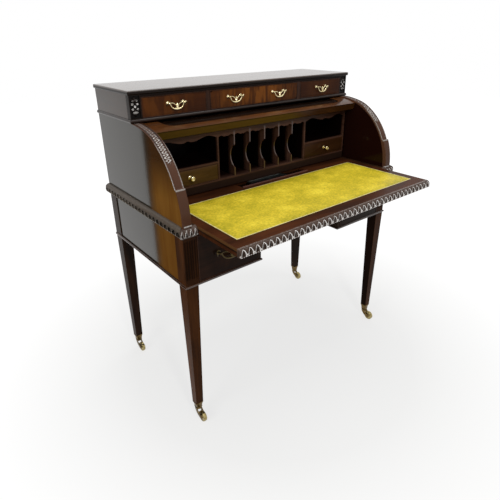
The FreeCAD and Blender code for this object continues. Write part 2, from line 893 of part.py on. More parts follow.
def large_posts(centre):
    return handle_posts(centre, case_front, lower_pivot, *large_handle)


def small_bail(centre):
    return [bail(centre, top_front, top_pivot, *small_handle, small_handle_drop)]


def large_bail(centre):
    return [bail(centre, case_front, lower_pivot, *large_handle, large_handle_drop)]


def case_nodes():
    deck = box(-cheek_inner, cheek_inner, case_front, back_inner, lower_case_top, deck_top)
    facing = arch_sector(cheek_radius, arch_radius, 0, 90, -half_width, -cheek_inner)
    corners = [(side, end) for side in (-1, 1) for end in (-1, 1)]
    return {
        "front_legs": [leg(-1, -1), leg(1, -1)],
        "back_legs": [leg(-1, 1), leg(1, 1)],
        "caster_cups": [caster_cup(side, end) for side, end in corners],
        "pedestal_floors": both_sides([bottom_board()]),
        "side_panels": both_sides([side_panel()]),
        "kneehole_sides": both_sides([knee_side()]),
        "back_panels": back_panels(),
        "deck_board": [deck],
        "guide_strips": both_sides(slide_guides() + [drawer_guide()]),
        "waist_mouldings": both_sides(waist_mouldings() + [waist_backing()]),
        "bead_mouldings": both_sides(bead_mouldings()),
        "cheek_left": [cheek()],
        "cheek_right": mirrored([cheek()]),
        "arch_facings": both_sides([facing]),
        "pivot_pins": both_sides([pivot_pin()]),
        "base_moulding": base_mouldings(),
        "top_case_boards": top_case_boards(),
        "carved_stiles": both_sides([carved_stile()]),
        "drawer_partitions": both_sides([drawer_partition()]),
        "top_board": [top_board()],
    }


def gallery_nodes():
    return {
        "gallery_base": gallery_base(),
        "gallery_case": gallery_case(),
        "gallery_partitions": both_sides(gallery_partition_and_shelf()),
        "pigeonhole_dividers": [pigeonhole_divider(x) for x in divider_places()],
        "gallery_valance": valances(),
    }


def slide_nodes():
    return {
        "slide_boards": slide_boards(),
        "leather_skiver": [leather()],
        "slide_nosing": slide_nosing(),
        "pen_tray": pen_tray(),
    }


def cylinder_nodes():
    return {
        "cylinder_panel": [cylinder_panel()],
        "cylinder_frame": cylinder_frame(),
        "cylinder_arms": both_sides([cylinder_arm()]),
    }


def drawer_nodes():
    """The drawers with their brass, each bail by itself because it swings."""
    nodes = {
        "top_drawer_left": top_drawer(-side_drawer_outer, -side_drawer_inner),
        "top_drawer_centre": top_drawer(-centre_drawer_half_width, centre_drawer_half_width),
        "top_drawer_right": top_drawer(side_drawer_inner, side_drawer_outer),
        "posts_top_centre": small_posts(-centre_handle_place) + small_posts(centre_handle_place),
        "bail_centre_left": small_bail(-centre_handle_place),
        "bail_centre_right": small_bail(centre_handle_place),
    }
    for name, side in (("left", -1), ("right", 1)):
        nodes["posts_top_" + name] = small_posts(side * side_drawer_centre)
        nodes["bail_top_" + name] = small_bail(side * side_drawer_centre)
        nodes["lower_drawer_" + name] = lower_drawer(side)
        nodes["posts_lower_" + name] = large_posts(side * lower_drawer_centre)
        nodes["bail_lower_" + name] = large_bail(side * lower_drawer_centre)
        nodes["gallery_drawer_" + name] = gallery_drawer(side)
        nodes["knob_" + name] = knob(side * gallery_drawer_centre, gallery_front, gallery_drawer_middle)
    return nodes


def caster_nodes():
    nodes = {}
    for end_name, end in (("front", -1), ("back", 1)):
        for side_name, side in (("left", -1), ("right", 1)):
            place = end_name + "_" + side_name
            nodes["caster_fork_" + place] = caster_fork(side, end)
            nodes["caster_wheel_" + place] = caster_wheel(side, end)
    return nodes


def main():
    os.makedirs("parts", exist_ok=True)
    nodes = {}
    for group in (case_nodes, gallery_nodes, slide_nodes, cylinder_nodes, drawer_nodes, caster_nodes):
        nodes.update(group())
    for name, shapes in nodes.items():
        solids = [solid for shape in shapes for solid in shape.Solids]
        shape = solids[0] if len(solids) == 1 else Part.makeCompound(solids)
        shape.exportStep("parts/" + name + ".step")


if __name__ == "__main__":
    main()
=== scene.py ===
"""Dresses the solids of a cylinder desk: carving, flutes, brass, leather and French polish.

Lengths in the shape functions are millimetres in the frame of the solids; meshes are in metres. A shape is
its points, its arrays of faces and, where it is carved or painted with shade, a value for each point that
sets its painted light.
"""
import json
import math
from functools import reduce

import bmesh
import bpy
import numpy as np
from bpy.props import FloatProperty, FloatVectorProperty, IntProperty, PointerProperty
from mathutils import Matrix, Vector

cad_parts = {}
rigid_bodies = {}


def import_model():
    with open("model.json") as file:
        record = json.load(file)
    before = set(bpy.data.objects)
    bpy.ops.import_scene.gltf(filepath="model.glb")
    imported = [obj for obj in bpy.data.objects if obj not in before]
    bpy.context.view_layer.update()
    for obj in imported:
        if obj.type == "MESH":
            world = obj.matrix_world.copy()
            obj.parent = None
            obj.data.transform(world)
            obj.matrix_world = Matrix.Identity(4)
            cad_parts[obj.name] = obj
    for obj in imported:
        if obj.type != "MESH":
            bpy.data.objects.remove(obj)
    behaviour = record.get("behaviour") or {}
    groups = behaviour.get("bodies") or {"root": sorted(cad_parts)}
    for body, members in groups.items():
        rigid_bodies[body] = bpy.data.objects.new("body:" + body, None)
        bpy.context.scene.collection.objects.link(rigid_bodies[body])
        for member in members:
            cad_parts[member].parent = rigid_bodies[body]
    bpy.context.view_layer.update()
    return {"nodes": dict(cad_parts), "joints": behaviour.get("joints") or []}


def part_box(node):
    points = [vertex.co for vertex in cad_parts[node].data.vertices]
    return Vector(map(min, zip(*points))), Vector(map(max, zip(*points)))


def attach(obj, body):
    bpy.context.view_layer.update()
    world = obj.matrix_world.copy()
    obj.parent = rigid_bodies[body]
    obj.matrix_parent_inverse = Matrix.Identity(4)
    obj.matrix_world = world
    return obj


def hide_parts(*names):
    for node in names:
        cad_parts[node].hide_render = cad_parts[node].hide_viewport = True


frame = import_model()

bl_info = {
    "name": "Cylinder desk dressing",
    "version": (1, 0, 0),
    "blender": (4, 5, 0),
    "location": "3D View > Sidebar > Desk",
    "description": "Carving, flutes, brass, leather and polish over the solids of a cylinder desk",
    "category": "Object",
}


def linear(code):
    """An sRGB hex colour as linear red, green and blue."""
    raw = np.array([int(code[i:i + 2], 16) for i in (1, 3, 5)]) / 255
    return tuple(np.where(raw <= 0.04045, raw / 12.92, ((raw + 0.055) / 1.055) ** 2.4).tolist())


def length_setting(name, description, millimetres):
    return FloatProperty(name=name, description=description, default=millimetres / 1000, min=0,
                         subtype="DISTANCE", unit="LENGTH", precision=4)


def colour_setting(name, description, code):
    return FloatVectorProperty(name=name, description=description, default=linear(code), min=0, max=1,
                               size=3, subtype="COLOR")


class DeskSizes(bpy.types.PropertyGroup):
    """Sizes of the carving and trim, which the solids leave plain"""
    leaf_pitch: length_setting("Leaf pitch", "From one carved leaf to the next", 24.0)
    leaf_depth: length_setting("Leaf depth", "How deep the leaves are cut", 5.0)
    flute_count: IntProperty(name="Flutes", description="Flutes on each front stile", default=5, min=1)
    flute_depth: length_setting("Flute depth", "How deep each flute is cut", 2.6)
    leg_top: length_setting("Leg top", "Width of the tapered leg under the case", 45)
    leg_foot: length_setting("Leg foot", "Width of the tapered leg in its brass cup", 28)
    cockbead: length_setting("Cockbead", "Width of the bead round each drawer", 3.2)
    leather_edge: length_setting("Leather edge", "Width of the pale pared edge round the leather", 3.0)
    rim_width: length_setting("Arch rim", "Width of the raised rim on the arch facings", 4.2)


class DeskColours(bpy.types.PropertyGroup):
    """Colours of the finishes"""
    mahogany_dark: colour_setting("Mahogany, dark", "Dark streaks of the polished wood", "#22130c")
    mahogany_light: colour_setting("Mahogany, light", "Light streaks of the polished wood", "#462818")
    veneer_dark: colour_setting("Side veneer, dark", "Dark streaks of the side veneer", "#6e461b")
    veneer_light: colour_setting("Side veneer, light", "Light streaks of the side veneer", "#845a26")
    drawer_dark: colour_setting("Drawer veneer, dark", "Ground of the drawer fronts", "#361b0e")
    drawer_light: colour_setting("Drawer veneer, light", "Light streaks of the drawer fronts", "#4a2712")
    flame: colour_setting("Flame figure", "Bright figure of the drawer veneer", "#7c481c")
    leather: colour_setting("Leather", "Main colour of the writing leather", "#e6cb30")
    leather_olive: colour_setting("Leather, worn", "Olive mottling of the leather", "#a89c14")
    brass: colour_setting("Brass", "Polished brass of handles and knobs", "#e2d4a8")
    floor: colour_setting("Floor", "Studio floor", "#d0d0cc")


def size(name):
    """A size setting in millimetres."""
    return getattr(bpy.context.scene.desk_sizes, name) * 1000


def span(node):
    """A solid's lowest and highest corner."""
    low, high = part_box(node)
    return np.array(low) * 1000, np.array(high) * 1000


def joint_place(name):
    return next(np.array(joint["pos_m"]) * 1000 for joint in frame["joints"] if joint["name"] == name)


def nodes_with(part):
    """Names of the solids that have a part in their name."""
    return [name for name in frame["nodes"] if part in name]


# Heights and distances

def smooth(value, low, high):
    """0 below low, 1 above high, and a cubic S between."""
    share = np.clip((value - low) / (high - low), 0, 1)
    return share * share * (3 - 2 * share)


def hump(distance, reach):
    """A soft ridge: 1 in its middle, and next to nothing at twice its reach."""
    return np.exp(-(distance / reach) ** 2)


def dome(*distances):
    """Height of a unit ball over a point at these distances from its middle."""
    return np.sqrt(np.clip(1 - sum(distance ** 2 for distance in distances), 0, 1))


def highest(*heights):
    return reduce(np.maximum, heights)


def inset(a, b, low, high):
    """Distance of points in a rectangle from its nearest side."""
    return np.minimum(np.minimum(a - low[0], high[0] - a), np.minimum(b - low[1], high[1] - b))


# Shapes

def stack(x, y, z):
    """Points from three coordinates that broadcast together."""
    return np.stack(np.broadcast_arrays(x, y, z), axis=-1).astype(float)


def row(first, last, count):
    """Even steps from the first value to the last, as one row of a grid."""
    return np.linspace(first, last, count)[None]


def column(first, last, count):
    return row(first, last, count).T


def circle(count):
    """Angles all round a circle, as one row of a grid."""
    return np.linspace(0, 2 * np.pi, count, endpoint=False)[None]


def edged(values):
    """A row of values with its first and its last one repeated."""
    return np.hstack([values[:, :1], values, values[:, -1:]])


def backed(face, back):
    """The rows of a face between two columns that have the value of its back."""
    wall = np.full((len(face), 1), float(back))
    return np.hstack([wall, face, wall])


def on_arch(centre, x, radius, angle):
    """Points by x, radius and angle about the fall's axis: 0 degrees is level at the front, and 90 is up."""
    turn = np.radians(angle)
    return stack(x, centre[1] - radius * np.cos(turn), centre[2] + radius * np.sin(turn))


def skin(points, wrap_rows=False, wrap_columns=False):
    """Quads over a grid of points, where either direction can join its own start."""
    rows, columns = points.shape[:2]
    index = np.arange(rows * columns).reshape(rows, columns)
    if wrap_rows:
        index = np.vstack([index, index[:1]])
    if wrap_columns:
        index = np.hstack([index, index[:, :1]])
    quads = np.stack([index[:-1, :-1], index[1:, :-1], index[1:, 1:], index[:-1, 1:]], axis=-1)
    return points.reshape(-1, 3), [quads.reshape(-1, 4)]


def bar(points):
    """A closed section carried along a path: one row of points per section, with a flat face at each end."""
    vertices, faces = skin(points, wrap_columns=True)
    columns = points.shape[1]
    ends = [np.arange(columns)[None], np.arange(len(vertices) - columns, len(vertices))[None]]
    return vertices, faces + ends


def mirrored(part):
    """The same shape on the desk's other side."""
    return part[0] * (-1, 1, 1), *part[1:]


def with_relief(part, relief_and_painted_light):
    """A shape with a value on each point for its painted light: 0 for shade, and dirt in carvings; 1 for
    highlights, and wear.
    """
    return *part, relief_and_painted_light.ravel()


def block(low, high, soft):
    """A board whose section across x is a rectangle with its corners cut by soft."""
    (x0, y0, z0), (x1, y1, z1) = low, high
    y = np.array([y0 + soft, y1 - soft, y1, y1, y1 - soft, y0 + soft, y0, y0])
    z = np.array([z0, z0, z0 + soft, z1 - soft, z1, z1, z1 - soft, z0 + soft])
    return bar(stack(np.array([x0, x1])[:, None], y[None], z[None]))


def turned(profile, centre, axis, sides):
    """A turned shape: radius and height pairs swept round an axis through centre."""
    profile = np.array(profile, float)
    axis = np.array(axis, float)
    first = np.cross(axis, (0, 0, 1) if abs(axis[2]) < 0.9 else (1, 0, 0))
    second = np.cross(axis, first)
    turn = circle(sides)[..., None]
    radius = profile[:, 0][:, None, None]
    height = profile[:, 1][:, None, None]
    ring = np.cos(turn) * first + np.sin(turn) * second
    return bar(np.array(centre) + radius * ring + height * axis)


def strand(path, radius, flat, sides=10):
    """A round or flattened rod: a ring of points about each point of a path.

    The ring's half width is the radius across the path, and the radius times flat along y.
    """
    along = np.gradient(path, axis=0)
    along /= np.linalg.norm(along, axis=1, keepdims=True)
    across = np.cross(along, (0, 1, 0))
    across /= np.linalg.norm(across, axis=1, keepdims=True)
    turn = circle(sides)[..., None]
    radius = np.broadcast_to(radius, len(path))[:, None, None]
    ring = np.cos(turn) * across[:, None] + np.sin(turn) * flat * np.array((0, 1, 0))
    return bar(path[:, None] + radius * ring)


# Points over the section of a carved moulding.
section_points = 44


def waist_section(depth, height, lip):
    """The round of the waist, bottom to top: distance out, height, slope of its face and share of the way.

    It is the circle through its two lips and the point that stands out most, half-way up.
    """
    rise = depth - lip
    radius = (rise ** 2 + (height / 2) ** 2) / (2 * rise)
    half = math.asin(min(1, height / 2 / radius))
    turn = np.linspace(-half, half, section_points)
    out = depth - radius + radius * np.cos(turn)
    return out, height / 2 + radius * np.sin(turn), turn, np.linspace(0, 1, section_points)


def nosing_section(depth, height, lip):
    """The swelling front of the slide's nosing, given like the waist's section.

    It is a rounded corner: its shares out and up, each to the third power, add up to one.
    """
    turn = np.linspace(0, np.pi / 2, section_points)
    out = lip + (depth - lip) * np.cos(turn) ** (2 / 3)
    level = height * np.sin(turn) ** (2 / 3)
    way = np.append(0, np.cumsum(np.hypot(np.diff(out), np.diff(level))))
    return out, level, np.arctan2(-np.gradient(out), np.gradient(level)), way / way[-1]


def leaf_and_dart(place, up, fullness, rim_wide, vein_high):
    """Height, and painted highlight with wear, 0 to 1, of carved leaves, by count along a band and share of
    the way up it.

    Each leaf is an arch, more pointed the less its fullness is, with a raised rim, a hollow on each side and
    a vein; a round dart stands between the feet of two leaves. The band's own edges are left at full height.
    The second value is a painted highlight on some wear: 1 on darts and on the rim's first side, and less on
    its second side and on veins.
    """
    side = np.abs(place % 1 - 0.5)
    half = 0.46 * (1 - np.clip((up - 0.04) / 0.9, 0, 1) ** fullness)
    inside = smooth(half - side, 0, 0.04)
    rim = inside * hump(side - half + rim_wide, rim_wide)
    # The rim's first side gets the stronger painted highlight.
    rim = rim * (0.85 + 0.15 * smooth(0.5 - place % 1, 0, 0.1))
    vein = vein_high * hump(side, 0.05) * smooth(0.7 - up, 0, 0.12)
    dart = dome((side - 0.5) / 0.18, (up - 0.16) / 0.16)
    rub_and_highlight = highest(rim, inside * vein, dart)
    edge = np.maximum(smooth(up, 0.95, 0.99), smooth(0.04 - up, 0, 0.03))
    ground = 0.12 * inside + 0.72 * (1 - inside)
    return highest(rub_and_highlight, ground, edge), rub_and_highlight


def carved_moulding(start, along, outward, length, mitres, section, bottom, drop, leaves, band, leaf_shape):
    """A moulding on a wall with leaves cut into its round.

    The section is carried along the wall, over a plain slope that drops back to the wall below it, and the
    leaves fill a band between two shares of its way up. Each point goes back along the section's own slope by
    the cut times what the leaf leaves away, and at a mitred end it goes on by as much as it stands out.
    """
    out, height, slope, up = section
    rows = max(12, int(length * 1.05))
    go = column(0, 1, rows)
    inner_up = np.clip((up - band[0]) / (band[1] - band[0]), 0, 1)
    leaf, rub_and_highlight = leaf_and_dart(go * leaves, inner_up[None], *leaf_shape)
    depth = size("leaf_depth") * (1 - leaf) * smooth(np.minimum(up, 1 - up), 0, 0.03)[None]
    far = np.maximum(out[None] - depth * np.cos(slope)[None], 0.4)
    level = height[None] - depth * np.sin(slope)[None]
    wall = np.zeros((rows, 1))
    far = np.hstack([wall, wall + 0.6, far, wall])
    level = np.hstack([wall - drop, wall - drop, level, wall + height[-1]]) + bottom + drop
    begin = -mitres[0] * far
    end = length + mitres[1] * far
    run = begin + go * (end - begin)
    points = np.array(start) + run[..., None] * np.array(along) + far[..., None] * np.array(outward)
    points[..., 2] = level
    # Painted light: the strip below the round is dark as the shadow under the moulding, and the leaves'
    # values paint shade in their hollows and highlights on their ridges.
    relief_and_painted_light = np.hstack([wall + 0.3, wall + 0.3, 0.7 * leaf + 0.3 * rub_and_highlight, wall + 0.7])
    return with_relief(bar(points), relief_and_painted_light)


def running_scroll(run, across):
    """Height of a running scroll: a wavy stem, a round leaf in each bend, and veins across the leaves."""
    scroll_pitch = 19
    wave = 2 * np.pi * run / scroll_pitch
    stem = 0.75 * hump(across - 0.42 * np.sin(wave), 0.2)
    leaf = hump(across + 0.36 * np.sin(wave), 0.3) * np.abs(np.sin(wave)) ** 1.4
    veins = 0.7 + 0.3 * np.cos(4 * wave + 9 * across)
    return np.maximum(stem, leaf * veins)


def arch_facing(centre, inner, outer, x_out, x_in):
    """A strip bent round the arch, as a height over the cheek by angle and place across.

    A rim runs along both sides of a long sunk panel; scrolling leaves fill the panel's upper half and end in
    a point; below the panel the strip swells into a plain block, down to a small round at its toe. Near the
    top the strip thins, and it is painted darker, each by a cubic S. The rims, the block's ledge, the toe and
    the scrolls are painted pale as highlights, and the carved ground dark as shade. The second shape carries
    the cheek's veneer out to the strip's rim.
    """
    block_height, scroll_start, standing_off = 101, 40, 5
    angle = column(-1.8, 90, 500)
    across = row(-1, 1, 45)
    thick = outer - inner
    half = abs(x_out - x_in) / 2
    rim_share = size("rim_width") / half
    foot = np.degrees(np.arcsin(block_height / outer))
    rim = smooth(np.abs(across), 1 - rim_share, 1 - 0.5 * rim_share)
    panel = smooth(angle, foot + 0.4, foot + 1.0)
    carved = smooth(angle - 4 * np.abs(across), scroll_start - 1, scroll_start + 1) * (1 - rim)
    leaves = running_scroll(np.radians(angle) * outer, across) * carved
    sunk = thick * (0.42 + 0.5 * leaves)
    upper = sunk + (thick - sunk) * rim
    ledge = hump(angle - foot, 0.6)
    plain = 2.6 * thick + 0.4 * ledge
    toe = dome((angle + 0.2) / 0.6) * smooth(across, -0.8, -0.6)
    height = np.maximum(plain + (upper - plain) * panel, 2.9 * thick * toe)
    height = height * (1 - 0.25 * smooth(np.abs(across), 0.93, 1.0))
    height = height + standing_off * (1 - smooth(angle, 62, 82))
    # Painted light: scrolls pale, the carved ground dark as shade, and highlights on rims, ledge and toe.
    ground = 0.66 + carved * (leaves ** 0.8 - 0.38)
    rub_and_highlight = highest(0.4 * panel * rim, 0.55 * ledge, 0.8 * toe)
    relief_and_painted_light = ground + (1 - ground) * rub_and_highlight - 0.2 * smooth(angle, 50, 70)
    x = (x_out + x_in) / 2 + half * edged(across)
    strip = bar(on_arch(centre, x, backed(inner + height, inner), angle))
    rim_line = np.repeat(inner + height[:, :1] - 0.6, 2, axis=1)
    x = x_out + np.array([[-0.3, -0.3, 2, 2]])
    edge = bar(on_arch(centre, x, backed(rim_line, inner - 1), angle))
    return with_relief(strip, backed(relief_and_painted_light, 0.6)), edge


def petal(x, z, foot_x, foot_z, lean, long, wide):
    """Height of a carved leaf: an oval that leans by an angle from its foot, with a grooved middle."""
    turn = math.radians(lean)
    along = ((x - foot_x) * math.cos(turn) + (z - foot_z) * math.sin(turn)) / long
    side = ((z - foot_z) * math.cos(turn) - (x - foot_x) * math.sin(turn)) / wide
    return dome(2 * along - 1, side) * (0.72 + 0.28 * smooth(np.abs(side), 0.05, 0.3))


def acanthus_pendant(x, z):
    """Height of the stile's carving, the highest of its leaves: a fan, two scrolls, a boss and a husk."""
    boss = 6
    leaves = [(0, 12, 90, 18, 5), (2, 12, 52, 16, 4.5), (1, 6, 12, 15, 5), (2, -4, -28, 14, 4.5),
              (0, -8, -90, 22, 5.5), (2, -12, -58, 14, 4)]
    return highest(0.95 * dome(x / boss, z / boss), *(petal(np.abs(x), z, *leaf) for leaf in leaves))


def carved_panel(low, high, cut):
    """An upright block whose front is sunk inside a margin, with the pendant's leaves left standing."""
    margin = 2.6
    across = row(low[0], high[0], 62)
    level = column(low[2], high[2], 112)
    z = level - (low[2] + high[2]) / 2
    leaves = acanthus_pendant(across - (low[0] + high[0]) / 2, z - 1)
    sunk = smooth(inset(across, level, low[::2], high[::2]), margin, margin + 1.2) * (1 - leaves)
    # Painted light: the standing leaves pale as highlights, most near the middle, and the sunk ground dark as
    # shade.
    relief_and_painted_light = np.where(sunk > 0.02, leaves ** 1.1 * (1 - 0.3 * smooth(np.abs(z), 12, 28)), 0.45)
    points = stack(edged(across), backed(low[1] + cut * sunk, high[1]), level)
    return with_relief(bar(points), backed(relief_and_painted_light, 0.6))


def fluted_leg(side, half_width, front, foot_level, case_bottom, top, stile):
    """A stile with flutes in its front over a tapered shaft.

    Each level is a square with its corners cut a little. On the stile the front side goes back by a row of
    half rounds, which start and end in round stops. The value on each point is painted shade: none on the
    outer side, and more on the others, most in the flutes and on the inner side.
    """
    shaft_rows, stile_rows, margin, corner = 14, 84, 0.07, 0.025
    rows = shaft_rows + stile_rows
    shaft = np.linspace(foot_level, case_bottom, shaft_rows)
    level = np.append(shaft, np.linspace(case_bottom, top, stile_rows))[:, None]
    on_stile = np.arange(rows)[:, None] >= shaft_rows
    taper = np.clip((case_bottom - level) / (case_bottom - foot_level), 0, 1)
    wide = np.where(on_stile, stile, size("leg_top") - taper * (size("leg_top") - size("leg_foot")))
    lean = 6 * taper
    across = row(corner, 1 - corner, 90)
    ends = np.array([[corner, 0.5, 1 - corner]])
    place = (across - margin) / (1 - 2 * margin) * bpy.context.scene.desk_sizes.flute_count
    groove = dome((place % 1 - 0.5) / 0.4) * ((across > margin) & (across < 1 - margin))
    stop = smooth(level, case_bottom + 26, case_bottom + 30) * smooth(top - 8 - level, 0, 4)
    inward = np.hstack([size("flute_depth") * groove * stop / wide, np.broadcast_to(ends, (rows, 3)),
                        np.ones((rows, 3)), np.broadcast_to(ends[:, ::-1], (rows, 3))])
    across = np.hstack([across, np.ones((1, 3)), ends[:, ::-1], np.zeros((1, 3))])
    leg = bar(stack(side * (half_width - lean - wide * across), front + lean + wide * inward, level))
    # Painted shade, from least to most: shaft front, stile front, back side, flutes, inner side; none on the
    # outer side.
    face = np.where(on_stile, 0.55 - 0.25 * groove * stop, 0.72)
    inner_back_outer = np.repeat([[0.2, 0.4, 1.0]], 3, axis=1)
    return with_relief(leg, np.hstack([face, np.broadcast_to(inner_back_outer, (rows, 9))]))


def cast_cup(x, y, bottom, top, half):
    """A square socket: rounded squares stacked up, wider upwards, with a flat rim and a ring at the bottom.

    A rounded square is the curve whose eighth powers of x and y add up to one.
    """
    level = np.linspace(0, 1, 48)
    grow = 0.67 + 0.25 * level
    grow = grow + (1 - grow) * smooth(level, 0.82, 0.86) - 0.04 * smooth(level, 0.97, 1.0)
    grow = np.maximum(grow, 0.76 * np.exp(-((level - 0.06) / 0.06) ** 4))
    turn = circle(64)
    shape = (np.abs(np.cos(turn)) ** 8 + np.abs(np.sin(turn)) ** 8) ** -0.125
    radius = half * grow[:, None] * shape
    z = bottom + (top - bottom) * level[:, None]
    return bar(stack(x + radius * np.cos(turn), y + radius * np.sin(turn), z))


def fork_horn(x, y, top, axle, wide_top, eye, thick):
    """One cheek of a caster: a flat bar that bends back from the collar to the axle, with a round end.

    Its middle line is close to a quarter of an ellipse, and its width goes from the collar's to the eye's.
    """
    share = column(0, 1, 26)
    turn = share * np.pi / 2
    middle_y = y + (axle[1] - y) * (1 - np.cos(turn)) ** 0.9
    middle_z = axle[2] + (top - axle[2]) * (1 - np.sin(turn)) ** 0.9
    step = np.gradient(np.hstack([middle_y, middle_z]), axis=0)
    step /= np.linalg.norm(step, axis=1, keepdims=True)
    half = wide_top + (eye - wide_top) * share
    ring = circle(20)
    across = np.sign(np.cos(ring)) * np.abs(np.cos(ring)) ** 0.5
    out = np.sign(np.sin(ring)) * np.abs(np.sin(ring)) ** 0.5
    return bar(stack(x + thick / 2 * out, middle_y - half * across * step[:, 1:],
                     middle_z + half * across * step[:, :1]))


def mitred(low, high, inward):
    """Two coordinates of a line mitred round a rectangle, by how far inward its section's points lie."""
    first = np.stack([low[0] + inward, high[0] - inward, high[0] - inward, low[0] + inward])
    second = np.stack([low[1] + inward, low[1] + inward, high[1] - inward, high[1] - inward])
    return first, second


def half_round_bead(low, high, face, wide):
    """A half-round bead mitred round a rectangle on a front face."""
    turn = np.linspace(0, np.pi, 9)
    x, z = mitred(low, high, wide / 2 * (1 - np.cos(turn)))
    return skin(stack(x, (face - 0.5 * wide * np.sin(turn))[None], z), True, True)


def flat_border(low, high, level, wide, proud):
    """A thin flat line mitred round a rectangle on a level face."""
    x, y = mitred(low, high, np.array([0, 0.15, wide - 0.15, wide]))
    return skin(stack(x, y, level + proud * np.array([[0, 1, 1, 0]])), True, True)


def veneer_sheet(low, high, face, thick):
    """A thin sheet on a front face, with its edges rubbed down: rows of points that sink at the border."""
    x = column(low[0], high[0], 40)
    z = row(low[1], high[1], 14)
    highlight_and_wear = smooth(inset(x, z, low, high), -0.1, 0.8)
    front = face - thick * highlight_and_wear - 0.05 * np.sin(x / 37) * np.sin(z / 23)
    return bar(stack(x, backed(front, face), edged(z)))


def leather_sheet(low, high):
    """The skiver: a level sheet with soft edges and the faint rise and fall of glued leather."""
    x = column(low[0] + 0.3, high[0] - 0.3, 150)
    y = row(low[1] + 0.3, high[1] - 0.3, 64)
    far = inset(x, y, low, high)
    wave = 0.12 * np.sin(x / 31 + 1.3 * np.sin(y / 47)) * np.sin(y / 26)
    top = high[2] - 0.5 * (1 - smooth(far, 0, 2.5)) + wave * smooth(far, 2, 20) - 0.1
    return bar(stack(x, edged(y), backed(top, low[2])))


def round_rail(x0, x1, y, z, half_y, half_z):
    """A rail along x with a half-oval top."""
    turn = row(0, np.pi, 15)
    return bar(stack(np.array([x0, x1])[:, None], y + half_y * np.cos(turn), z + half_z * np.sin(turn)))


def pen_trough(x0, x1, y0, y1, floor, top):
    """A shallow trough along x: its section is half an oval, and its ends rise in the same way."""
    x = column(x0, x1, 60)
    y = row(y0, y1, 24)
    across = (2 * y - y0 - y1) / (y1 - y0)
    end = np.clip(np.minimum(x - x0, x1 - x) / 18, 0, 1)
    level = top - (top - floor - 0.6) * dome(across) * dome(1 - end)
    return bar(stack(x, edged(y), backed(level, floor)))


def fall_face(centre, half, inner, outer, start, end, stile, rail):
    """The outside of the cylinder fall: a raised frame, a moulded edge with round corners and a sunk field.

    Each point's radius depends on its distance from a rectangle with round corners, laid out flat by width
    and arc length. The value for painted shade is 1, no shade, on the frame and 0, darkest, on the field next
    to the front rail, and it rises from there by a cubic S.
    """
    rows, back_columns, corner = 300, 60, 38
    x = column(-half, half, rows)
    angle = row(start, end, 150)
    run = np.radians(angle - (start + end) / 2) * outer
    past_x = np.abs(x) - (half - stile) + corner
    past_run = np.abs(run) - np.radians((end - start) / 2 - rail) * outer + corner
    outside = np.hypot(np.maximum(past_x, 0), np.maximum(past_run, 0))
    away = outside + np.minimum(np.maximum(past_x, past_run), 0) - corner
    sunk = smooth(-away, 0.5, 9)
    bead = 0.55 * hump(away + 2.2, 1.6)
    radius = outer - (outer - inner - 0.5) * np.clip(sunk - 0.5 * bead, 0, 1)
    radius = np.hstack([radius, np.full((rows, back_columns), inner + 0.02)])
    shell = bar(on_arch(centre, x, radius, np.hstack([angle, row(end, start, back_columns)])))
    # Painted shade on the field next to the front rail, where it runs in under the top case.
    relief_and_painted_light = np.maximum(1 - sunk, 0.64 * smooth(angle - start, 12, 34))
    return with_relief(shell, np.hstack([relief_and_painted_light, np.zeros((rows, back_columns))]))


def post_with_tail(x, face, pivot, reach, radius, side):
    """A turned post on a rosette, with a leaf that springs outwards from its head and droops."""
    rosette = [(0, 0), (1.65, 0), (1.65, 0.5), (1.35, 1.3), (0.75, 2.2)]
    neck_and_head = [(0.6, 0.45), (0.62, 0.6), (1.0, 0.85), (1.05, 1), (0.9, 1.2), (0.5, 1.3), (0, 1.33)]
    profile = np.vstack([np.array(rosette) * (radius, 1), np.array(neck_and_head) * (radius, reach)])
    share = np.linspace(0, 1, 22)
    out = x + side * radius * (1.9 * np.sin(share * 2.4) + 0.2)
    down = pivot + radius * (0.8 * np.sin(share * 3.1) - 2.4 * share ** 2)
    path = stack(out, face - reach * (0.95 - 0.35 * share ** 2), down)
    tail = strand(path, radius * (0.6 * np.sin(np.pi * (0.12 + 0.88 * share)) ** 0.8 + 0.05), 0.55)
    return [turned(profile, (x, face, pivot), (0, -1, 0), 20), tail]


def bail_with_leaf(pivot, spacing, drop, radius):
    """A cast bail: a swan-neck rod from post to post, a light upper strand and a small leaf in the middle.

    The rod's line is a super-oval that hangs by drop, thicker towards the middle. The leaf is a stack of flat
    ovals whose width swells and has five lobes.
    """
    x, y, z = pivot
    share = np.linspace(-1, 1, 61)
    half = spacing / 2 - 1.9 * radius
    lower = stack(x + half * share * (1 + 0.1 * np.sin(np.pi * share) ** 2), y,
                  z - (drop - 1.5 * radius) * (1 - np.abs(share) ** 2.3) ** 0.62)
    dip = 0.05 - 0.4 * np.cos(share * np.pi / 2) ** 2.2 + 0.1 * np.sin(share * np.pi) ** 2
    upper = stack(x + half * 0.96 * share, y, z + drop * dip)
    rods = [strand(lower, radius * (0.9 + hump(share, 0.5)), 0.75),
            strand(upper, radius * (0.55 + 0.25 * np.abs(share)), 0.8, 8)]
    for side in (-1, 1):
        pin = np.linspace((x + side * spacing / 2, y, z), (x + side * half * 0.97, y, z), 6)
        rods.append(strand(pin, radius * 0.9, 1.0, 8))
    up = column(0, 1, 46)
    turn = circle(26)
    swell = np.sin(np.pi * np.clip(up, 0.01, 0.995))
    wide = spacing * 0.085 * swell ** 0.6 * (1 + 0.2 * np.cos(5 * 2 * np.pi * up))
    thick = radius * 1.2 * swell ** 0.5 * (1 - 0.35 * hump(np.cos(turn), 0.22))
    leaf = stack(x + wide * np.cos(turn), y - 0.4 * radius + thick * np.sin(turn),
                 z + drop * (0.02 - 0.9 * up))
    return rods + [bar(leaf)]


# Finishes

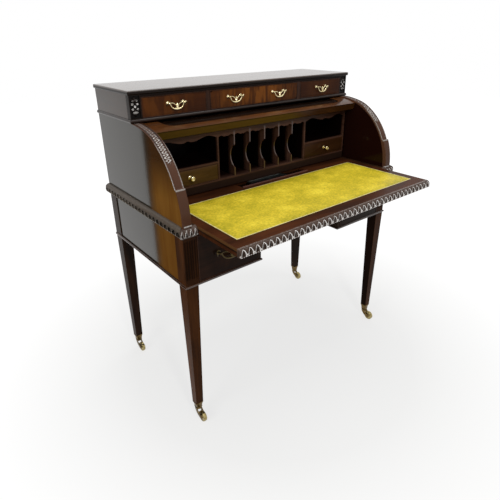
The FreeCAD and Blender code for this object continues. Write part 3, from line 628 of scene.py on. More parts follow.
def opaque(colour):
    """A colour with full cover, from an sRGB hex code or from the name of a colour setting."""
    if colour.startswith("#"):
        return (*linear(colour), 1)
    return (*getattr(bpy.context.scene.desk_colours, colour), 1)


def add(tree, kind, inputs=None, output=0, **settings):
    """Add a shader node with its settings, a value or a link for each input, and give one of its outputs."""
    made = tree.nodes.new("ShaderNode" + kind)
    for name, value in settings.items():
        setattr(made, name, value)
    for socket, source in (inputs or {}).items():
        if isinstance(source, bpy.types.NodeSocket):
            tree.links.new(source, made.inputs[socket])
        else:
            made.inputs[socket].default_value = source
    return made.outputs[output] if made.outputs else None


def object_place(tree):
    return add(tree, "TexCoord", output="Object")


def attribute(tree, name):
    return add(tree, "Attribute", output="Fac", attribute_name=name)


def compute(tree, operation, *values, clamp=False):
    """One sum with up to three values."""
    return add(tree, "Math", dict(enumerate(values)), operation=operation, use_clamp=clamp)


def ramp(tree, source, low=0.0, high=1.0, first=0.0, last=1.0):
    """First where the source is low, last where it is high, and even steps between."""
    return add(tree, "MapRange", {0: source, 1: low, 2: high, 3: first, 4: last})


def blend(tree, share, first, second):
    """The first colour where the share is 0 and the second where it is 1."""
    first, second = (opaque(colour) if isinstance(colour, str) else colour for colour in (first, second))
    return add(tree, "Mix", {0: share, 6: first, 7: second}, 2, data_type="RGBA")


def noise(tree, place, detail, pattern=1000, **more):
    """Soft clouds, pattern millimetres apart, or one unit apart in stretched coordinates."""
    return add(tree, "TexNoise", {"Vector": place, "Scale": 1000 / pattern, "Detail": detail, **more})


def along_grain(tree, place, grain, wide, long):
    """Stretched coordinates: a unit is wide millimetres across the grain and long along it."""
    scale = [1000 / wide] * 3
    scale[grain] = 1000 / long
    return add(tree, "Mapping", {"Vector": place, "Scale": scale})


def new_finish(name):
    """An empty material's node tree."""
    material = bpy.data.materials.new(name)
    material.use_nodes = True
    material.node_tree.nodes.clear()
    return material.node_tree


def surface(tree, kind, inputs):
    """End a finish with its surface shader."""
    add(tree, "OutputMaterial", {"Surface": add(tree, kind, inputs)})


def polished_wood(name, dark, light, grain, roughness=0.24, shine=0.1, shades=(), figure=None):
    """French polished wood: long streaks along the grain over broad clouds of tone.

    Shellac fills the pores, so the eye sees depth under a smooth film and hardly any texture. Streaks are
    7 mm wide and 150 mm long: the real ones of 1 to 2 mm would not show in the picture. A shade, which in
                               most
    woods below is painted shade, is an axis, two places on it (distances from the middle for x, and values of
    the attribute of relief and painted light for that attribute), the colour that the wood takes on from the
    first to the second, and the share of its shine that it keeps. A figure is a colour, how much of it shows,
    and the place and reach in x and z of the feathered flame that it glows in.
    """
    tree = new_finish(name)
    place = object_place(tree)
    streak = noise(tree, along_grain(tree, place, grain, 7, 150), 5.0, Roughness=0.6, Distortion=0.35)
    cloud = noise(tree, along_grain(tree, place, grain, 60, 240), 3.0, Distortion=0.6)
    tone = ramp(tree, compute(tree, "MULTIPLY_ADD", streak, 0.6, cloud), 0.55, 1.05)
    colour = blend(tree, tone, dark, light)
    if figure:
        bright, share, (x, z), (reach_x, reach_z) = figure
        spot = add(tree, "Mapping", {"Vector": place, "Location": (x, 0, z),
                                     "Scale": (reach_x, 1000, reach_z)}, vector_type="TEXTURE")
        glow = add(tree, "TexGradient", {"Vector": spot}, "Fac", gradient_type="SPHERICAL")
        upright = add(tree, "Mapping", {"Vector": place, "Scale": (1000 / 26, 1, 1000 / 110),
                                        "Rotation": (0, 0.3, 0)})
        feather = ramp(tree, noise(tree, upright, 5.0, Distortion=1.2), 0.35, 0.65, 0.15)
        flame = ramp(tree, compute(tree, "MULTIPLY", glow, feather), 0.03, 0.55, 0.0, share)
        colour = blend(tree, flame, colour, bright)
    for axis, start, end, shadow, kept in shades:
        if axis == "relief_and_painted_light":
            share = ramp(tree, attribute(tree, "relief_and_painted_light"), start, end)
        else:
            where = add(tree, "SeparateXYZ", {0: place}, axis)
            where = compute(tree, "ABSOLUTE", where) if axis == 0 else where
            share = ramp(tree, where, start / 1000, end / 1000)
        colour = blend(tree, share, colour, shadow)
        shine = compute(tree, "MULTIPLY", ramp(tree, share, first=1.0, last=kept), shine)
    gloss = ramp(tree, cloud, first=roughness * 0.8, last=roughness * 1.3)
    film = add(tree, "Bump", {"Height": streak, "Strength": 0.04, "Distance": 0.0004})
    surface(tree, "BsdfPrincipled", {"Base Color": colour, "Roughness": gloss, "Normal": film, "IOR": 1.5,
                                     "Specular IOR Level": shine})


def carved_wood(name, hollow, face, ridge, shine):
    """Carved mahogany under old wax: hollows painted dark as shade and dirt, ridges painted pale and glossy
    as highlights on wear.

    The attribute of relief and painted light is the carving's height and painted highlight, from 0 in a
    hollow to 1 on a ridge. Flecks of wax are 1 mm and are drawn 4 mm wide so that they show.
    """
    tree = new_finish(name)
    fleck = noise(tree, object_place(tree), 3.0, 4)
    # Here worn is the attribute's painted shade and highlight, with flecks of wax on top.
    worn = compute(tree, "MULTIPLY_ADD", fleck, 0.2, attribute(tree, "relief_and_painted_light"))
    raised = ramp(tree, worn, 0.28, 0.72)
    highlight_and_wear = ramp(tree, worn, 0.8, 1.02)
    colour = blend(tree, highlight_and_wear, blend(tree, raised, hollow, face), ridge)
    surface(tree, "BsdfPrincipled", {"Base Color": colour, "IOR": 1.5,
                                     "Roughness": ramp(tree, raised, first=0.5, last=0.22),
                                     "Specular IOR Level": ramp(tree, highlight_and_wear, first=0.1, last=shine)})


def metal(name, bright, dull, roughness, patch_size):
    """Metal, bright where it is rubbed and browner in patches of tarnish, patch_size millimetres wide."""
    tree = new_finish(name)
    patch = noise(tree, object_place(tree), 4.0, patch_size)
    colour = blend(tree, ramp(tree, patch, 0.48, 0.75), bright, dull)
    rough = ramp(tree, patch, first=roughness * 0.7, last=roughness * 1.5)
    surface(tree, "BsdfPrincipled", {"Base Color": colour, "Roughness": rough, "Metallic": 1.0})


def writing_leather(name):
    """Skiver, dyed and waxed: a yellow gold that wear has mottled with olive, darker along its border.

    Pebbles of the hide are 1 mm and are drawn 3 mm wide so that they show.
    """
    tree = new_finish(name)
    place = object_place(tree)
    patch = noise(tree, place, 6.0, 110, Roughness=0.65)
    speck = noise(tree, place, 3.0, 7, Roughness=0.7)
    pebble = add(tree, "TexVoronoi", {"Vector": place, "Scale": 1000 / 3})
    worn = ramp(tree, compute(tree, "MULTIPLY_ADD", speck, 0.9, patch), 0.77, 1.12, 0.85, 0.0)
    worn = compute(tree, "MULTIPLY_ADD", attribute(tree, "border"), 0.35, worn, clamp=True)
    gold = blend(tree, ramp(tree, patch, 0.5, 0.72), "leather", "#f4de42")
    hide = add(tree, "Bump", {"Height": pebble, "Strength": 0.25, "Distance": 0.0004})
    surface(tree, "BsdfPrincipled", {"Base Color": blend(tree, worn, gold, "leather_olive"), "Normal": hide,
                                     "Roughness": 0.5, "IOR": 1.48, "Specular IOR Level": 0.3})


def pared_hide(name):
    """Pared edge of the skiver, undyed: a pale cream line, slightly mottled where glue has stained it."""
    tree = new_finish(name)
    stain = ramp(tree, noise(tree, object_place(tree), 3.0, 12), 0.4, 0.75)
    colour = blend(tree, stain, "#e4d6a0", "#b8a25c")
    surface(tree, "BsdfPrincipled", {"Base Color": colour, "Roughness": 0.55, "IOR": 1.48})


# Each wood has its dark and light streaks, the axis of its grain, its roughness, its shine and its shades.
woods = {
    # Case: a dark, even polish, with the grain along the front or upright.
    "mahogany_french_polished_x": ("mahogany_dark", "mahogany_light", 0),
    "mahogany_french_polished_z": ("mahogany_dark", "mahogany_light", 2),
    # Front legs, straight-grained: long upright streaks, with painted shade on every side but the outer one,
    # darkest on the inner side and in the stile's flutes.
    "mahogany_leg_straight_grained": ("#2e180a", "#5e3515", 2, 0.24, 0.04,
                                      [("relief_and_painted_light", 1.0, 0.1, "#0a0504", 0.4)]),
    # Back legs: darker streaks than the front legs.
    "mahogany_back_leg_waxed": ("#1a0f08", "#382212", 2, 0.24, 0.05),
    # Top board under a thick film of polish: a mirror at a low angle, with painted shade on its edges below
    # the round.
    "mahogany_top_mirror_polished": ("#3a2a20", "#4e3c2e", 0, 0.14, 0.7, [(2, 1123, 1120, "#1a100b", 0.15)]),
    # Top case, burnished: dark, with a grey sheen on its ends; the rest, its front rail too, is painted
    # darker with little shine, as shade under the top board.
    "mahogany_end_burnished": ("#2a1e14", "#3c2a1c", 1, 0.16, 0.28, [(0, 499, 497, "#1a0f0a", 0.2)]),
    # Moulding under the top case: almost black, with a thin line of light.
    "mahogany_base_moulding": ("#1c110c", "#302018", 0, 0.18, 0.25),
    # Side panels and cheeks: golden brown under a clear film, darker upwards, and painted darker at the rear
    # as shade. The cheeks' inner faces are painted dark, as shade behind the fall.
    "mahogany_side_veneer": ("veneer_dark", "veneer_light", 2, 0.07, 0.27,
                             [(2, 830, 950, "#452c17", 1.0), (1, -15, 45, "#2e2920", 1.0),
                              (0, 490, 482, "#1c0a06", 0.3)]),
    # Frame of the slide, worn smooth by sleeves: red-brown, with hardly any polish, and paler side edges.
    "mahogany_slide_worn": ("#2c170d", "#4e2a16", 0, 0.32, 0.03, [(0, 452.6, 453.3, "#5a3c22", 1.0)]),
    # Bead along the case's lower edge, rubbed by passing hands: brown, with a soft line of light.
    "mahogany_bead_rubbed": ("#2c1a11", "#4e3120", 0, 0.2, 0.7),
    # Gallery: brown on its front edges, and painted almost black behind them as shade inside the pigeonholes.
    "mahogany_gallery": ("#34201a", "#5a3e32", 0, 0.34, 0.1, [(1, 63, 72, "#0b0403", 0.3)]),
    # Gallery plinth and shelf: a brown front edge on the floor, painted dark behind it as shade, and a plinth
    # below it painted dark as shade in its recess.
    "mahogany_gallery_plinth": ("#34201a", "#5a3e32", 0, 0.34, 0.1,
                                [(1, 63, 100, "#180a06", 0.3), (2, 797, 795, "#2a1c16", 0.6)]),
    # Thin dividers, rubbed by letters: brown edges with a bright line in each scoop, and painted almost black
    # further in as shade.
    "mahogany_divider_rubbed": ("#3a241c", "#5e4236", 2, 0.22, 0.6, [(1, 80, 100, "#0b0403", 0.1)]),
    # Plain veneer of the gallery drawers: a quiet olive brown on the left, and redder on the right.
    "mahogany_gallery_drawer_olive": ("#392711", "#563c1e", 0, 0.26, 0.12),
    "mahogany_gallery_drawer_red": ("#281509", "#3c2412", 0, 0.26, 0.1),
    # Rounded lip of the pen tray, handled every day: red-brown and smooth; behind the lip the tray is painted
    # dark as shade.
    "mahogany_tray_handled": ("#361a10", "#613220", 0, 0.22, 0.25, [(1, 26, 32, "#0f0603", 0.5)]),
    # Carcase, unpolished: dull, dry and brown.
    "mahogany_carcase": ("#1c0f08", "#34200f", 0, 0.55),
    # Lower edge of the fall: dark and glossy, so that it mirrors the leather below it.
    "mahogany_fall_edge": ("#3a220e", "#4c2e14", 0, 0.2, 0.28),
    # Veneer of the fall: its frame is rubbed red by hands, and its field next to the rail is painted almost
    # black, as shade where it runs in under the top case.
    "mahogany_fall_veneer": ("#3a1f0d", "#5e381a", 0, 0.2, 0.15, [("relief_and_painted_light", 0.75, 0.4, "#140a05", 1.0)]),
    # Ebonised stringing, polished: black, with faint brown streaks; on the slide's sides it paints the shade
    # in the grooves.
    "ebonised_string": ("#070403", "#170c08", 0, 0.3),
}

# Each carving has the colours of its hollows, faces and ridges, and the shine of its ridges.
carvings = {
    # Leaves of the slide's edge: black hollows, painted as shade and dirt, a dull brown ground and ridges
    # painted almost white as highlights on wear.
    "mahogany_carved_leaf": ("#0c0807", "#5c4a40", "#fbf8f4", 1.0),
    # Leaves along the sides of the waist: black hollows painted as shade, and grey ridges and ground painted
    # as the sheen they mirror.
    "mahogany_carved_waist": ("#080605", "#5c5248", "#968c80", 0.3),
    # Pendants of the top stiles: dark, with hollows painted as shade and a few bright points painted as
    # highlights.
    "mahogany_carved_pendant": ("#0a0605", "#221712", "#ece8e4", 0.7),
    # Arch facings: a brown polished channel between rims painted pale as highlights, with scrolls painted
    # silvery as glints on a ground painted dark as shade.
    "mahogany_carved_arch": ("#1a1512", "#54382a", "#bab6b0", 0.5),
}

# Each metal has its bright and its tarnished colour, its roughness and the size of its patches.
metals = {
    # Handles, cast, polished and lacquered: pale, with a soft warm shine.
    "brass_cast_polished": ("brass", "#a08c54", 0.15, 9),
    # Handles of the lower drawers: brass painted brown as shade under the slide, with a low shine.
    "brass_cast_dull": ("#4c4028", "#261e14", 0.3, 9),
    # Cups and forks, cast, near the floor: brown with tarnish, brighter between its patches.
    "brass_cast_tarnished": ("#6e5a36", "#382a18", 0.3, 7),
    # Wheels, turned and rubbed by the floor: paler than the forks.
    "brass_turned_tread": ("#ac9c6c", "#5c4e2e", 0.25, 7),
    # Rolled liner of the pen tray: grey with a soft shine.
    "pewter_rolled": ("#727876", "#4c504e", 0.28, 12),
    # Turned pivot pins, oiled: grey and smooth.
    "steel_turned": ("#9c9c9e", "#6e6a66", 0.3, 6),
}

# The two hides have no settings of their own.
finish_lists = ((polished_wood, woods), (carved_wood, carvings), (metal, metals),
                (writing_leather, {"leather_skiver_waxed": ()}), (pared_hide, {"leather_edge_pared": ()}))


def finish(name):
    """A finish of the lists above, made when it is first asked for."""
    if name not in bpy.data.materials:
        for make, recipes in finish_lists:
            if name in recipes:
                make(name, *recipes[name])
    return bpy.data.materials[name]


def drawer_veneer(node):
    """Flame mahogany of a drawer front: a red-brown ground that glows golden round the middle of its figure.

    The lower fronts are painted darker, as shade under the slide, with next to no figure.
    """
    name = "mahogany_flame_veneer_" + node
    low, high = (corner / 1000 for corner in span(node))
    middle = (low + high) / 2
    # The lower fronts' darker ground is painted shade under the slide.
    ground = ("#1c110b", "#301c12") if node.startswith("lower") else ("drawer_dark", "drawer_light")
    flames = {"top_drawer_left": (0.35, low[0] + 0.05, 0.18), "top_drawer_centre": (1.0, 0.0, 0.26),
              "top_drawer_right": (0.2, middle[0], 0.1)}
    share, x, reach = flames.get(node, (0.1, middle[0], 0.1))
    polished_wood(name, *ground, 0, shine=0.05, figure=("flame", share, (x, middle[2]), (reach, 0.08)))
    return bpy.data.materials[name]


def mesh_points(mesh):
    """A mesh's points in millimetres."""
    place = np.empty(len(mesh.vertices) * 3, np.float32)
    mesh.vertices.foreach_get("co", place)
    return place.reshape(-1, 3).astype(float) * 1000


def make_piece(name, parts, material, body, replaced=(), crease=38):
    """Put shapes into one mesh that rides on a body and stands for the replaced solids."""
    vertices, faces, heights, shift = [], [], [], 0
    for points, polygons, *relief_and_painted_light in parts:
        vertices.append(points)
        heights.append(relief_and_painted_light[0] if relief_and_painted_light else np.full(len(points), 0.7))
        faces += [polygon + shift for polygon in polygons]
        shift += len(points)
    corners = np.concatenate([polygon.ravel() for polygon in faces])
    counts = np.concatenate([np.full(len(polygon), polygon.shape[1]) for polygon in faces])
    mesh = bpy.data.meshes.new(name)
    mesh.vertices.add(shift)
    mesh.vertices.foreach_set("co", (np.concatenate(vertices) / 1000).astype(np.float32).ravel())
    mesh.loops.add(len(corners))
    mesh.loops.foreach_set("vertex_index", corners.astype(np.int32))
    mesh.polygons.add(len(counts))
    mesh.polygons.foreach_set("loop_start", (np.cumsum(counts) - counts).astype(np.int32))
    mesh.update(calc_edges=True)
    if any(len(part) > 2 for part in parts):
        relief_and_painted_light = mesh.attributes.new("relief_and_painted_light", "FLOAT", "POINT")
        relief_and_painted_light.data.foreach_set("value", np.concatenate(heights).astype(np.float32))
    shell = bmesh.new()
    shell.from_mesh(mesh)
    bmesh.ops.remove_doubles(shell, verts=shell.verts, dist=1e-7)
    bmesh.ops.recalc_face_normals(shell, faces=shell.faces)
    shell.to_mesh(mesh)
    shell.free()
    mesh.shade_smooth()
    mesh.set_sharp_from_angle(angle=math.radians(crease))
    mesh.materials.append(material)
    piece = bpy.data.objects.new(name, mesh)
    bpy.context.scene.collection.objects.link(piece)
    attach(piece, body)
    if replaced:
        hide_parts(*replaced)
    return piece


class DESK_OT_timber(bpy.types.Operator):
    """Polish the solids that keep their own shape"""
    bl_idname = "desk.timber"
    bl_label = "Timber finishes"

    def execute(self, context):
        finishes = {
            "back_legs": "mahogany_back_leg_waxed",
            "side_panels": "mahogany_side_veneer",
            "cheek_left": "mahogany_side_veneer",
            "cheek_right": "mahogany_side_veneer",
            "bead_mouldings": "mahogany_bead_rubbed",
            "base_moulding": "mahogany_base_moulding",
            "top_case_boards": "mahogany_end_burnished",
            "drawer_partitions": "mahogany_french_polished_z",
            "top_board": "mahogany_top_mirror_polished",
            "slide_boards": "mahogany_slide_worn",
            "cylinder_panel": "mahogany_fall_edge",
            "cylinder_arms": "mahogany_gallery",
            "pivot_pins": "steel_turned",
            "gallery_base": "mahogany_gallery_plinth",
            "gallery_case": "mahogany_gallery",
            "gallery_partitions": "mahogany_gallery",
            "gallery_valance": "mahogany_gallery",
            "pigeonhole_dividers": "mahogany_divider_rubbed",
        }
        for name, node in frame["nodes"].items():
            node.data.materials.clear()
            node.data.materials.append(finish(finishes.get(name, "mahogany_carcase")))
        return {"FINISHED"}


class DESK_OT_carved_edges(bpy.types.Operator):
    """Carve leaves along the slide's front edge and the waist of the case"""
    bl_idname = "desk.carved_edges"
    bl_label = "Carved edges"

    def execute(self, context):
        pitch = size("leaf_pitch")
        low, high = span("slide_nosing")
        wide = high[0] - low[0]
        proud, drop = 3, 3
        section = nosing_section(high[1] - low[1] + proud, high[2] - low[2] - drop, 2)
        edge = carved_moulding((high[0], high[1], 0), (-1, 0, 0), (0, -1, 0), wide, (0, 0), section,
                               low[2], drop, round(wide / pitch), (0.02, 0.86), (2.4, 0.13, 0.8))
        make_piece("carved_slide_edge", [edge], finish("mahogany_carved_leaf"), "writing_slide",
                   ["slide_nosing"])
        low, high = span("waist_mouldings")
        half = span("top_case_boards")[1][0]
        front = span("front_legs")[0][1]
        out = high[0] - half
        lip, drop = 3, 6
        deep = high[1] - front
        section = waist_section(out, high[2] - low[2] - drop, lip)
        side = carved_moulding((-half, high[1], 0), (0, -1, 0), (-1, 0, 0), deep, (0, 1), section,
                               low[2], drop, round(deep / pitch), (0.28, 0.68), (4, 0.05, 0.8))
        make_piece("carved_waist", [side, mirrored(side)], finish("mahogany_carved_waist"), "case",
                   ["waist_mouldings"])
        toe_height, clear = 4, 0.5
        wide = half - span("slide_boards")[1][0] - clear
        section = waist_section(out, high[2] - low[2] - drop - toe_height, lip)
        turn = carved_moulding((-half, front, 0), (1, 0, 0), (0, -1, 0), wide, (1, 0), section,
                               low[2], drop, round(2.1 * wide / pitch), (0.05, 0.95), (2.2, 0.13, 0.6))
        toe_back = (-span("cheek_right")[0][0], span("cheek_left")[0][1], high[2] - toe_height)
        left = [turn, block((-half, front, low[2]), toe_back, 0.3)]
        make_piece("carved_waist_returns", left + [mirrored(part) for part in left],
                   finish("mahogany_carved_leaf"), "case")
        return {"FINISHED"}


class DESK_OT_arch_facings(bpy.types.Operator):
    """Carve the facings of the two arched cheeks"""
    bl_idname = "desk.arch_facings"
    bl_label = "Arch facings"

    def execute(self, context):
        centre = joint_place("cylinder_roll")
        low, high = span("arch_facings")
        cheek_low, cheek_high = span("cheek_left")
        lap = 1.5
        facing, edge = arch_facing(centre, centre[1] - cheek_low[1], high[2] - centre[2], low[0],
                                   cheek_high[0] + lap)
        make_piece("carved_arch_facings", [facing, mirrored(facing)], finish("mahogany_carved_arch"), "case",
                   ["arch_facings"])
        make_piece("veneered_arch_edges", [edge, mirrored(edge)], finish("mahogany_side_veneer"), "case")
        return {"FINISHED"}


class DESK_OT_top_stiles(bpy.types.Operator):
    """Carve the pendants on the two stiles of the top case"""
    bl_idname = "desk.top_stiles"
    bl_label = "Top stiles"

    def execute(self, context):
        low, high = span("carved_stiles")
        clear, cut = 0.7, 4.2
        panel = carved_panel((span("top_drawer_right")[1][0] + clear, low[1], low[2]), high, cut)
        make_piece("carved_top_stiles", [panel, mirrored(panel)], finish("mahogany_carved_pendant"), "case",
                   ["carved_stiles"])
        return {"FINISHED"}


class DESK_OT_fluted_legs(bpy.types.Operator):
    """Cut the flutes in the stiles of the two front legs"""
    bl_idname = "desk.fluted_legs"
    bl_label = "Fluted legs"

    def execute(self, context):
        low, high = span("front_legs")
        stile = span("side_panels")[0][1] - low[1]
        foot = span("caster_cups")[1][2]
        legs = [fluted_leg(side, high[0], low[1], foot, span("bead_mouldings")[0][2], high[2], stile)
                for side in (-1, 1)]
        make_piece("fluted_front_legs", legs, finish("mahogany_leg_straight_grained"), "case",
                   ["front_legs"])
        return {"FINISHED"}


class DESK_OT_drawer_fronts(bpy.types.Operator):
    """Lay veneer and a cockbead on each drawer front"""
    bl_idname = "desk.drawer_fronts"
    bl_label = "Drawer fronts"

    def execute(self, context):
        for name in nodes_with("_drawer_"):
            low, high = span(name)
            face = low[1]
            low, high = low[::2], high[::2]
            wide = size("cockbead")
            if name.startswith("gallery"):
                wide = wide * 0.7
                veneer = finish("mahogany_gallery_drawer_" + ("olive" if name.endswith("left") else "red"))
            else:
                veneer = drawer_veneer(name)
            sheet = veneer_sheet(low + wide, high - wide, face, 0.6)
            make_piece("veneer_" + name, [sheet], veneer, name)
            make_piece("cockbead_" + name, [half_round_bead(low, high, face, wide)],
                       finish("mahogany_french_polished_x"), name)
        return {"FINISHED"}


class DESK_OT_handles(bpy.types.Operator):
    """Cast the posts and bails of the drawer handles"""
    bl_idname = "desk.handles"
    bl_label = "Drawer handles"

    def execute(self, context):
        def brass(name):
            # Brass of the lower handles is painted dark as shade under the slide.
            return finish("brass_cast_dull" if "lower" in name else "brass_cast_polished")

        for name in nodes_with("bail_"):
            pivot = joint_place(name + "_swing")
            low, high = span(name)
            parts = bail_with_leaf(pivot, high[0] - low[0], pivot[2] - low[2], (high[1] - low[1]) / 2)
            make_piece("cast_" + name, parts, brass(name), name, [name])
        for name in nodes_with("posts_"):
            drawer = name.replace("posts_top", "top_drawer").replace("posts_lower", "lower_drawer")
            face = span(drawer)[0][1]
            parts = []
            for joint in [each for each in frame["joints"] if each["parent"] == drawer]:
                pivot = np.array(joint["pos_m"]) * 1000
                low, high = span(joint["child"])
                radius = (high[1] - low[1]) * 1.05
                for side in (-1, 1):
                    x = pivot[0] + side * (high[0] - low[0]) / 2
                    parts += post_with_tail(x, face, pivot[2], face - pivot[1], radius, side)
            make_piece("cast_" + name, parts, brass(name), drawer, [name])
        return {"FINISHED"}


class DESK_OT_knobs(bpy.types.Operator):
    """Turn the knobs of the gallery drawers"""
    bl_idname = "desk.knobs"
    bl_label = "Gallery knobs"

    def execute(self, context):
        rose_and_neck = np.array([(0, 0), (7, 0), (7, 0.8), (6, 1.6), (3.2, 2.2), (2.6, 5)])
        head = np.array([(0.7, 0.52), (0.96, 0.66), (1, 0.76), (0.97, 0.88), (0.82, 0.96), (0.6, 0.98),
                         (0.4, 0.93), (0.25, 0.95), (0, 1)])
        for side in ("left", "right"):
            low, high = span("knob_" + side)
            radius = (high[2] - low[2]) / 2
            reach = high[1] - low[1]
            profile = np.vstack([rose_and_neck, (3.2, 0.4 * reach), head * (radius, reach)])
            centre = ((low[0] + high[0]) / 2, high[1], (low[2] + high[2]) / 2)
            make_piece("turned_knob_" + side, [turned(profile, centre, (0, -1, 0), 32)],
                       finish("brass_cast_polished"), "gallery_drawer_" + side, ["knob_" + side], 50)
        return {"FINISHED"}


class DESK_OT_casters(bpy.types.Operator):
    """Cast the cups and forks of the four casters, and turn their wheels"""
    bl_idname = "desk.casters"
    bl_label = "Casters"

    def execute(self, context):
        collar = [(0, -6), (11, -6), (12, -4.6), (12, -1.8), (10.5, -0.4), (4.5, 0), (4.5, 7), (0, 7)]
        boss = [(0, 0), (8, 0), (8, 2.2), (7.2, 3), (3.6, 3.2), (2.8, 3.9), (0, 4.1)]
        low, high = span("caster_cups")
        half = high[0] - joint_place("caster_swivel_front_right")[0]
        top = low[2] - 0.3
        horn = 3
        cups = []
        for place in ("front_left", "front_right", "back_left", "back_right"):
            centre = joint_place("caster_swivel_" + place)
            axle = joint_place("caster_roll_" + place)
            cups.append(cast_cup(centre[0], centre[1], low[2], high[2], half))
            wheel = "caster_wheel_" + place
            wheel_low, wheel_high = span(wheel)
            wide = (wheel_high[0] - wheel_low[0]) / 2
            radius = (wheel_high[2] - wheel_low[2]) / 2
            gap = wide + 0.5
            pin = [(0, -gap - 1), (2.5, -gap - 1), (2.5, gap + 1), (0, gap + 1)]
            parts = [turned(collar, (centre[0], centre[1], top), (0, 0, 1), 28),
                     turned(pin, axle, (1, 0, 0), 16)]
            for side in (-1, 1):
                x = axle[0] + side * (gap + horn / 2)
                parts.append(fork_horn(x, centre[1], top - 2.5, axle, 9, 7.8, horn))
                parts.append(turned(boss, axle + (side * gap, 0, 0), (side, 0, 0), 24))
            fork = "caster_fork_" + place
            make_piece("cast_fork_" + place, parts, finish("brass_cast_tarnished"), fork, [fork])
            hub_to_tread = np.array([
                (2.55, wide - 1), (5, wide), (7, wide), (8.5, wide - 1.6), (radius - 5, wide - 1.8),
                (radius - 4, wide - 0.5), (radius - 2, wide - 0.3), (radius - 0.3, wide - 2), (radius, 2)])
            profile = np.vstack([hub_to_tread, hub_to_tread[::-1] * (1, -1), hub_to_tread[:1]])
            points, faces = turned(profile, axle, (1, 0, 0), 40)
            make_piece("turned_wheel_" + place, [(points, faces[:1])], finish("brass_turned_tread"), wheel,
                       [wheel])
        make_piece("cast_cups", cups, finish("brass_cast_tarnished"), "case", ["caster_cups"])
        return {"FINISHED"}


class DESK_OT_leather_top(bpy.types.Operator):
    """Lay the leather with its pared edge and the dark string round it, and paint the shade in the slide's
    side grooves with black strips
    """
    bl_idname = "desk.leather_top"
    bl_label = "Writing leather"

    def execute(self, context):
        low, high = span("leather_skiver")
        sheet = make_piece("tooled_leather", [leather_sheet(low, high)], finish("leather_skiver_waxed"),
                           "writing_slide", ["leather_skiver"])
        x, y, _ = mesh_points(sheet.data).T
        border = sheet.data.attributes.new("border", "FLOAT", "POINT")
        border.data.foreach_set("value", (1 - smooth(inset(x, y, low, high), 4, 40)).astype(np.float32))
        inward = 1.2
        line = flat_border(low + inward, high - inward, high[2] - 0.35, size("leather_edge"), 0.4)
        make_piece("pared_leather_edge", [line], finish("leather_edge_pared"), "writing_slide")
        wide = 3
        string = flat_border(low - wide, high + wide, high[2] - 0.1, wide, 0.2)
        make_piece("ebony_string", [string], finish("ebonised_string"), "writing_slide")
        # Thin black strips along the slide's sides paint the shade in its grooves.
        low, high = span("slide_boards")
        side = block((low[0] - 0.15, low[1], high[2] - 12.5), (low[0] + 0.5, high[1], high[2] - 9), 0.1)
        make_piece("slide_groove_painted_shade", [side, mirrored(side)], finish("ebonised_string"), "writing_slide")
        return {"FINISHED"}


class DESK_OT_pen_tray(bpy.types.Operator):
    """Shape the pen tray behind the leather"""
    bl_idname = "desk.pen_tray"
    bl_label = "Pen tray"

    def execute(self, context):
        low, high = span("pen_tray")
        floor = low[2] + 2
        top = span("slide_boards")[1][2]
        lip, wall, left, right = 8, 3, -88, 95
        middle = (low[1] + lip + high[1]) / 2
        reach = (high[1] - low[1] - lip) / 2
        parts = [round_rail(low[0], high[0], low[1] + lip / 2, floor, lip / 2, high[2] - floor),
                 block(low, (high[0], high[1], floor), 0.2)]
        for x in (left, right):
            parts.append(round_rail(x, x + wall, middle, floor, reach, top - floor - 0.4))
        make_piece("pen_tray_wood", parts, finish("mahogany_tray_handled"), "writing_slide",
                   ["pen_tray"])
        trough = pen_trough(left + wall + 0.5, right - 0.5, low[1] + lip + 0.2, high[1] - 0.5, floor, top - 1)
        make_piece("pen_trough", [trough], finish("pewter_rolled"), "writing_slide")
        return {"FINISHED"}


class DESK_OT_cylinder_fall(bpy.types.Operator):
    """Frame and mould the outside of the cylinder fall"""
    bl_idname = "desk.cylinder_fall"
    bl_label = "Cylinder fall"

    def execute(self, context):
        stile, rail_degrees = 55, 5.5
        centre = joint_place("cylinder_roll")
        half = span("cylinder_frame")[1][0]
        points = mesh_points(frame["nodes"]["cylinder_frame"].data) - centre
        radius = np.hypot(points[:, 1], points[:, 2])
        angle = np.degrees(np.arctan2(points[:, 2], -points[:, 1]))
        face = fall_face(centre, half, radius.min(), radius.max(), angle.min(), angle.max(), stile,
                         rail_degrees)
        make_piece("moulded_fall_face", [face], finish("mahogany_fall_veneer"), "cylinder",
                   ["cylinder_frame"])
        return {"FINISHED"}


# Stage

def seen_rays(tree):
    """1 for rays from the camera and for mirrored and refracted ones, and 0 for the rest."""
    camera, glossy, through = (add(tree, "LightPath", output="Is %s Ray" % kind)
                               for kind in ("Camera", "Glossy", "Transmission"))
    return compute(tree, "MAXIMUM", compute(tree, "MAXIMUM", camera, glossy), through)


def floor_paint(name):
    """Matt white studio paint: white away from the desk, with the desk's soft shadow under it."""
    tree = new_finish(name)
    away = add(tree, "VectorMath", {0: object_place(tree)}, "Value", operation="LENGTH")
    share = compute(tree, "MULTIPLY", seen_rays(tree), ramp(tree, away, 0.6, 1.5, 0.66, 1.0))
    paint = add(tree, "BsdfDiffuse", {"Color": opaque("floor")})
    glow = add(tree, "Emission", {"Color": (1, 1, 1, 1), "Strength": 1.1})
    surface(tree, "MixShader", {0: share, 1: paint, 2: glow})


def black_velvet(name):
    """Black velvet, which gives back next to no light."""
    surface(new_finish(name), "BsdfDiffuse", {"Color": (0.002, 0.002, 0.002, 1)})


def stage_sheet(name, points, material):
    """A flat sheet that is not part of the desk."""
    vertices, faces = skin(points)
    mesh = bpy.data.meshes.new(name)
    mesh.from_pydata(vertices.tolist(), [], faces[0].tolist())
    mesh.materials.append(bpy.data.materials[material])
    sheet = bpy.data.objects.new(name, mesh)
    bpy.context.scene.collection.objects.link(sheet)
    return sheet


